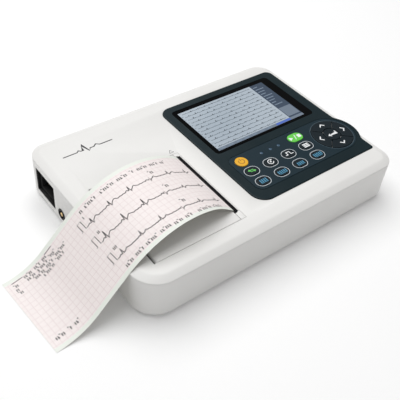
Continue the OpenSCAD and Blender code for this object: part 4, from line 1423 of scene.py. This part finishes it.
def dress(node, material, bevel):
    """Gives a CAD node its material and soft edges; its own mesh stays as it is."""
    piece = nodes[node]
    piece.data.materials.clear()
    piece.data.materials.append(material)
    weld = piece.modifiers.new("weld", "WELD")
    weld.merge_threshold = 0.003 * MM
    flat = piece.modifiers.new("flat", "DECIMATE")
    flat.decimate_type = "DISSOLVE"
    flat.angle_limit = math.radians(0.8)
    edges = piece.modifiers.new("edges", "BEVEL")
    edges.width = bevel * MM
    edges.segments = 2
    edges.limit_method = "ANGLE"
    edges.angle_limit = math.radians(40)
    smooth = piece.modifiers.new("smooth", "NODES")
    smooth.node_group = smoothing


KEPT = {
    "lcd_module": (nickel, 0.2),
    "keypad_board": (circuit_board, 0.1),
    "key_domes": (steel, 0.05),
    "indicator_lights": (light_window, 0.15),
    "main_board": (circuit_board, 0.15),
    "power_supply": (zinc, 0.6),
    "battery_pack": (battery_wrap, 1.2),
    "battery_cover": (case_white, 0.3),
    "mains_inlet": (black_plastic, 0.3),
    "inlet_blades": (brass, 0.25),
    "earth_socket": (black_plastic, 0.3),
    "earth_pin": (brass, 0.35),
    "patient_socket": (nickel, 0.25),
    "socket_jackscrews": (nickel, 0.2),
    "usb_port": (nickel, 0.15),
    "network_port": (nickel, 0.15),
    "speaker": (black_plastic, 0.3),
    "feet": (rubber, 0.6),
    "case_screws": (steel, 0.15),
    "printer_chassis": (zinc, 0.15),
    "platen_catches": (steel, 0.15),
    "print_head": (ceramic, 0.15),
    "head_heatsink": (aluminium, 0.2),
    "head_springs": (steel, 0.08),
    "tear_bar": (tear_steel, 0.08),
    "stepper_motor": (zinc, 0.4),
    "idler_axle": (steel, 0.15),
    "paper_tray": (grey_plastic, 0.3),
    "paper_roll": (wound_paper, 0.15),
    "roll_core": (cardboard, 0.1),
    "hinge_pins": (steel, 0.2),
    "platen_bushes": (brass, 0.1),
    "platen_shaft": (steel, 0.3),
    "platen_rubber": (rubber, 0.3),
    "platen_gear": (gear_plastic, 0.06),
    "motor_pinion": (brass, 0.05),
    "idler_gear": (gear_plastic, 0.06),
}
for kept_node, (kept_material, kept_bevel) in KEPT.items():
    dress(kept_node, kept_material, kept_bevel)


# ---- floor, light and camera ----


def make_floor():
    shape = Shape()
    shape.bar(-6000, -6000, 6000, 6000, -0.02)
    pale = new_material("floor", (0.92, 0.92, 0.92), 0.7)
    tint(pale, (0.915, 0.915, 0.915), (0.925, 0.925, 0.925), 2.0)
    shader_of(pale).inputs["Emission Color"].default_value = (1, 1, 1, 1)
    shader_of(pale).inputs["Emission Strength"].default_value = 0.07
    shape.make("floor", [pale])


def area_light(name, place, size, power):
    """Square area light in metres, aimed at the origin."""
    lamp = bpy.data.lights.new(name, "AREA")
    lamp.shape = "SQUARE"
    lamp.size = size
    lamp.energy = power
    piece = bpy.data.objects.new(name, lamp)
    piece.location = place
    piece.rotation_mode = "QUATERNION"
    piece.rotation_quaternion = (-Vector(place)).to_track_quat("-Z", "Y")
    bpy.context.scene.collection.objects.link(piece)


def make_light():
    scene = bpy.context.scene
    world = bpy.data.worlds.new("studio")
    world.use_nodes = True
    world.node_tree.nodes["Background"].inputs["Color"].default_value = (1, 1, 1, 1)
    world.node_tree.nodes["Background"].inputs["Strength"].default_value = 0.37
    scene.world = world
    area_light("overhead", (0.0, 0.62, 1.7), 1.9, 30)
    area_light("left_fill", (-1.5, 0.1, 0.8), 1.0, 0.8)
    scene.view_settings.view_transform = "Standard"


def make_camera():
    """Camera at the viewing angle of the pictured machine: turn, height and roll, in degrees."""
    turn = math.radians(-41.73)
    height = math.radians(43.62)
    roll_angle = math.radians(6.25)
    towards = Vector(
        (math.sin(turn) * math.cos(height), -math.cos(turn) * math.cos(height), math.sin(height))
    )
    level = Vector((math.cos(turn), math.sin(turn), 0))
    above = towards.cross(level)
    side = level * math.cos(roll_angle) + above * math.sin(roll_angle)
    rise = above * math.cos(roll_angle) - level * math.sin(roll_angle)
    data = bpy.data.cameras.new("camera")
    data.lens = 57.37
    data.clip_start = 0.02
    data.clip_end = 40
    camera = bpy.data.objects.new("camera", data)
    place = Vector((-269.67, -328.0, 411.2)) * MM
    turned = Matrix((side, rise, towards)).transposed()
    camera.matrix_world = Matrix.Translation(place) @ turned.to_4x4()
    bpy.context.scene.collection.objects.link(camera)
    bpy.context.scene.camera = camera


make_floor()
make_light()
make_camera()
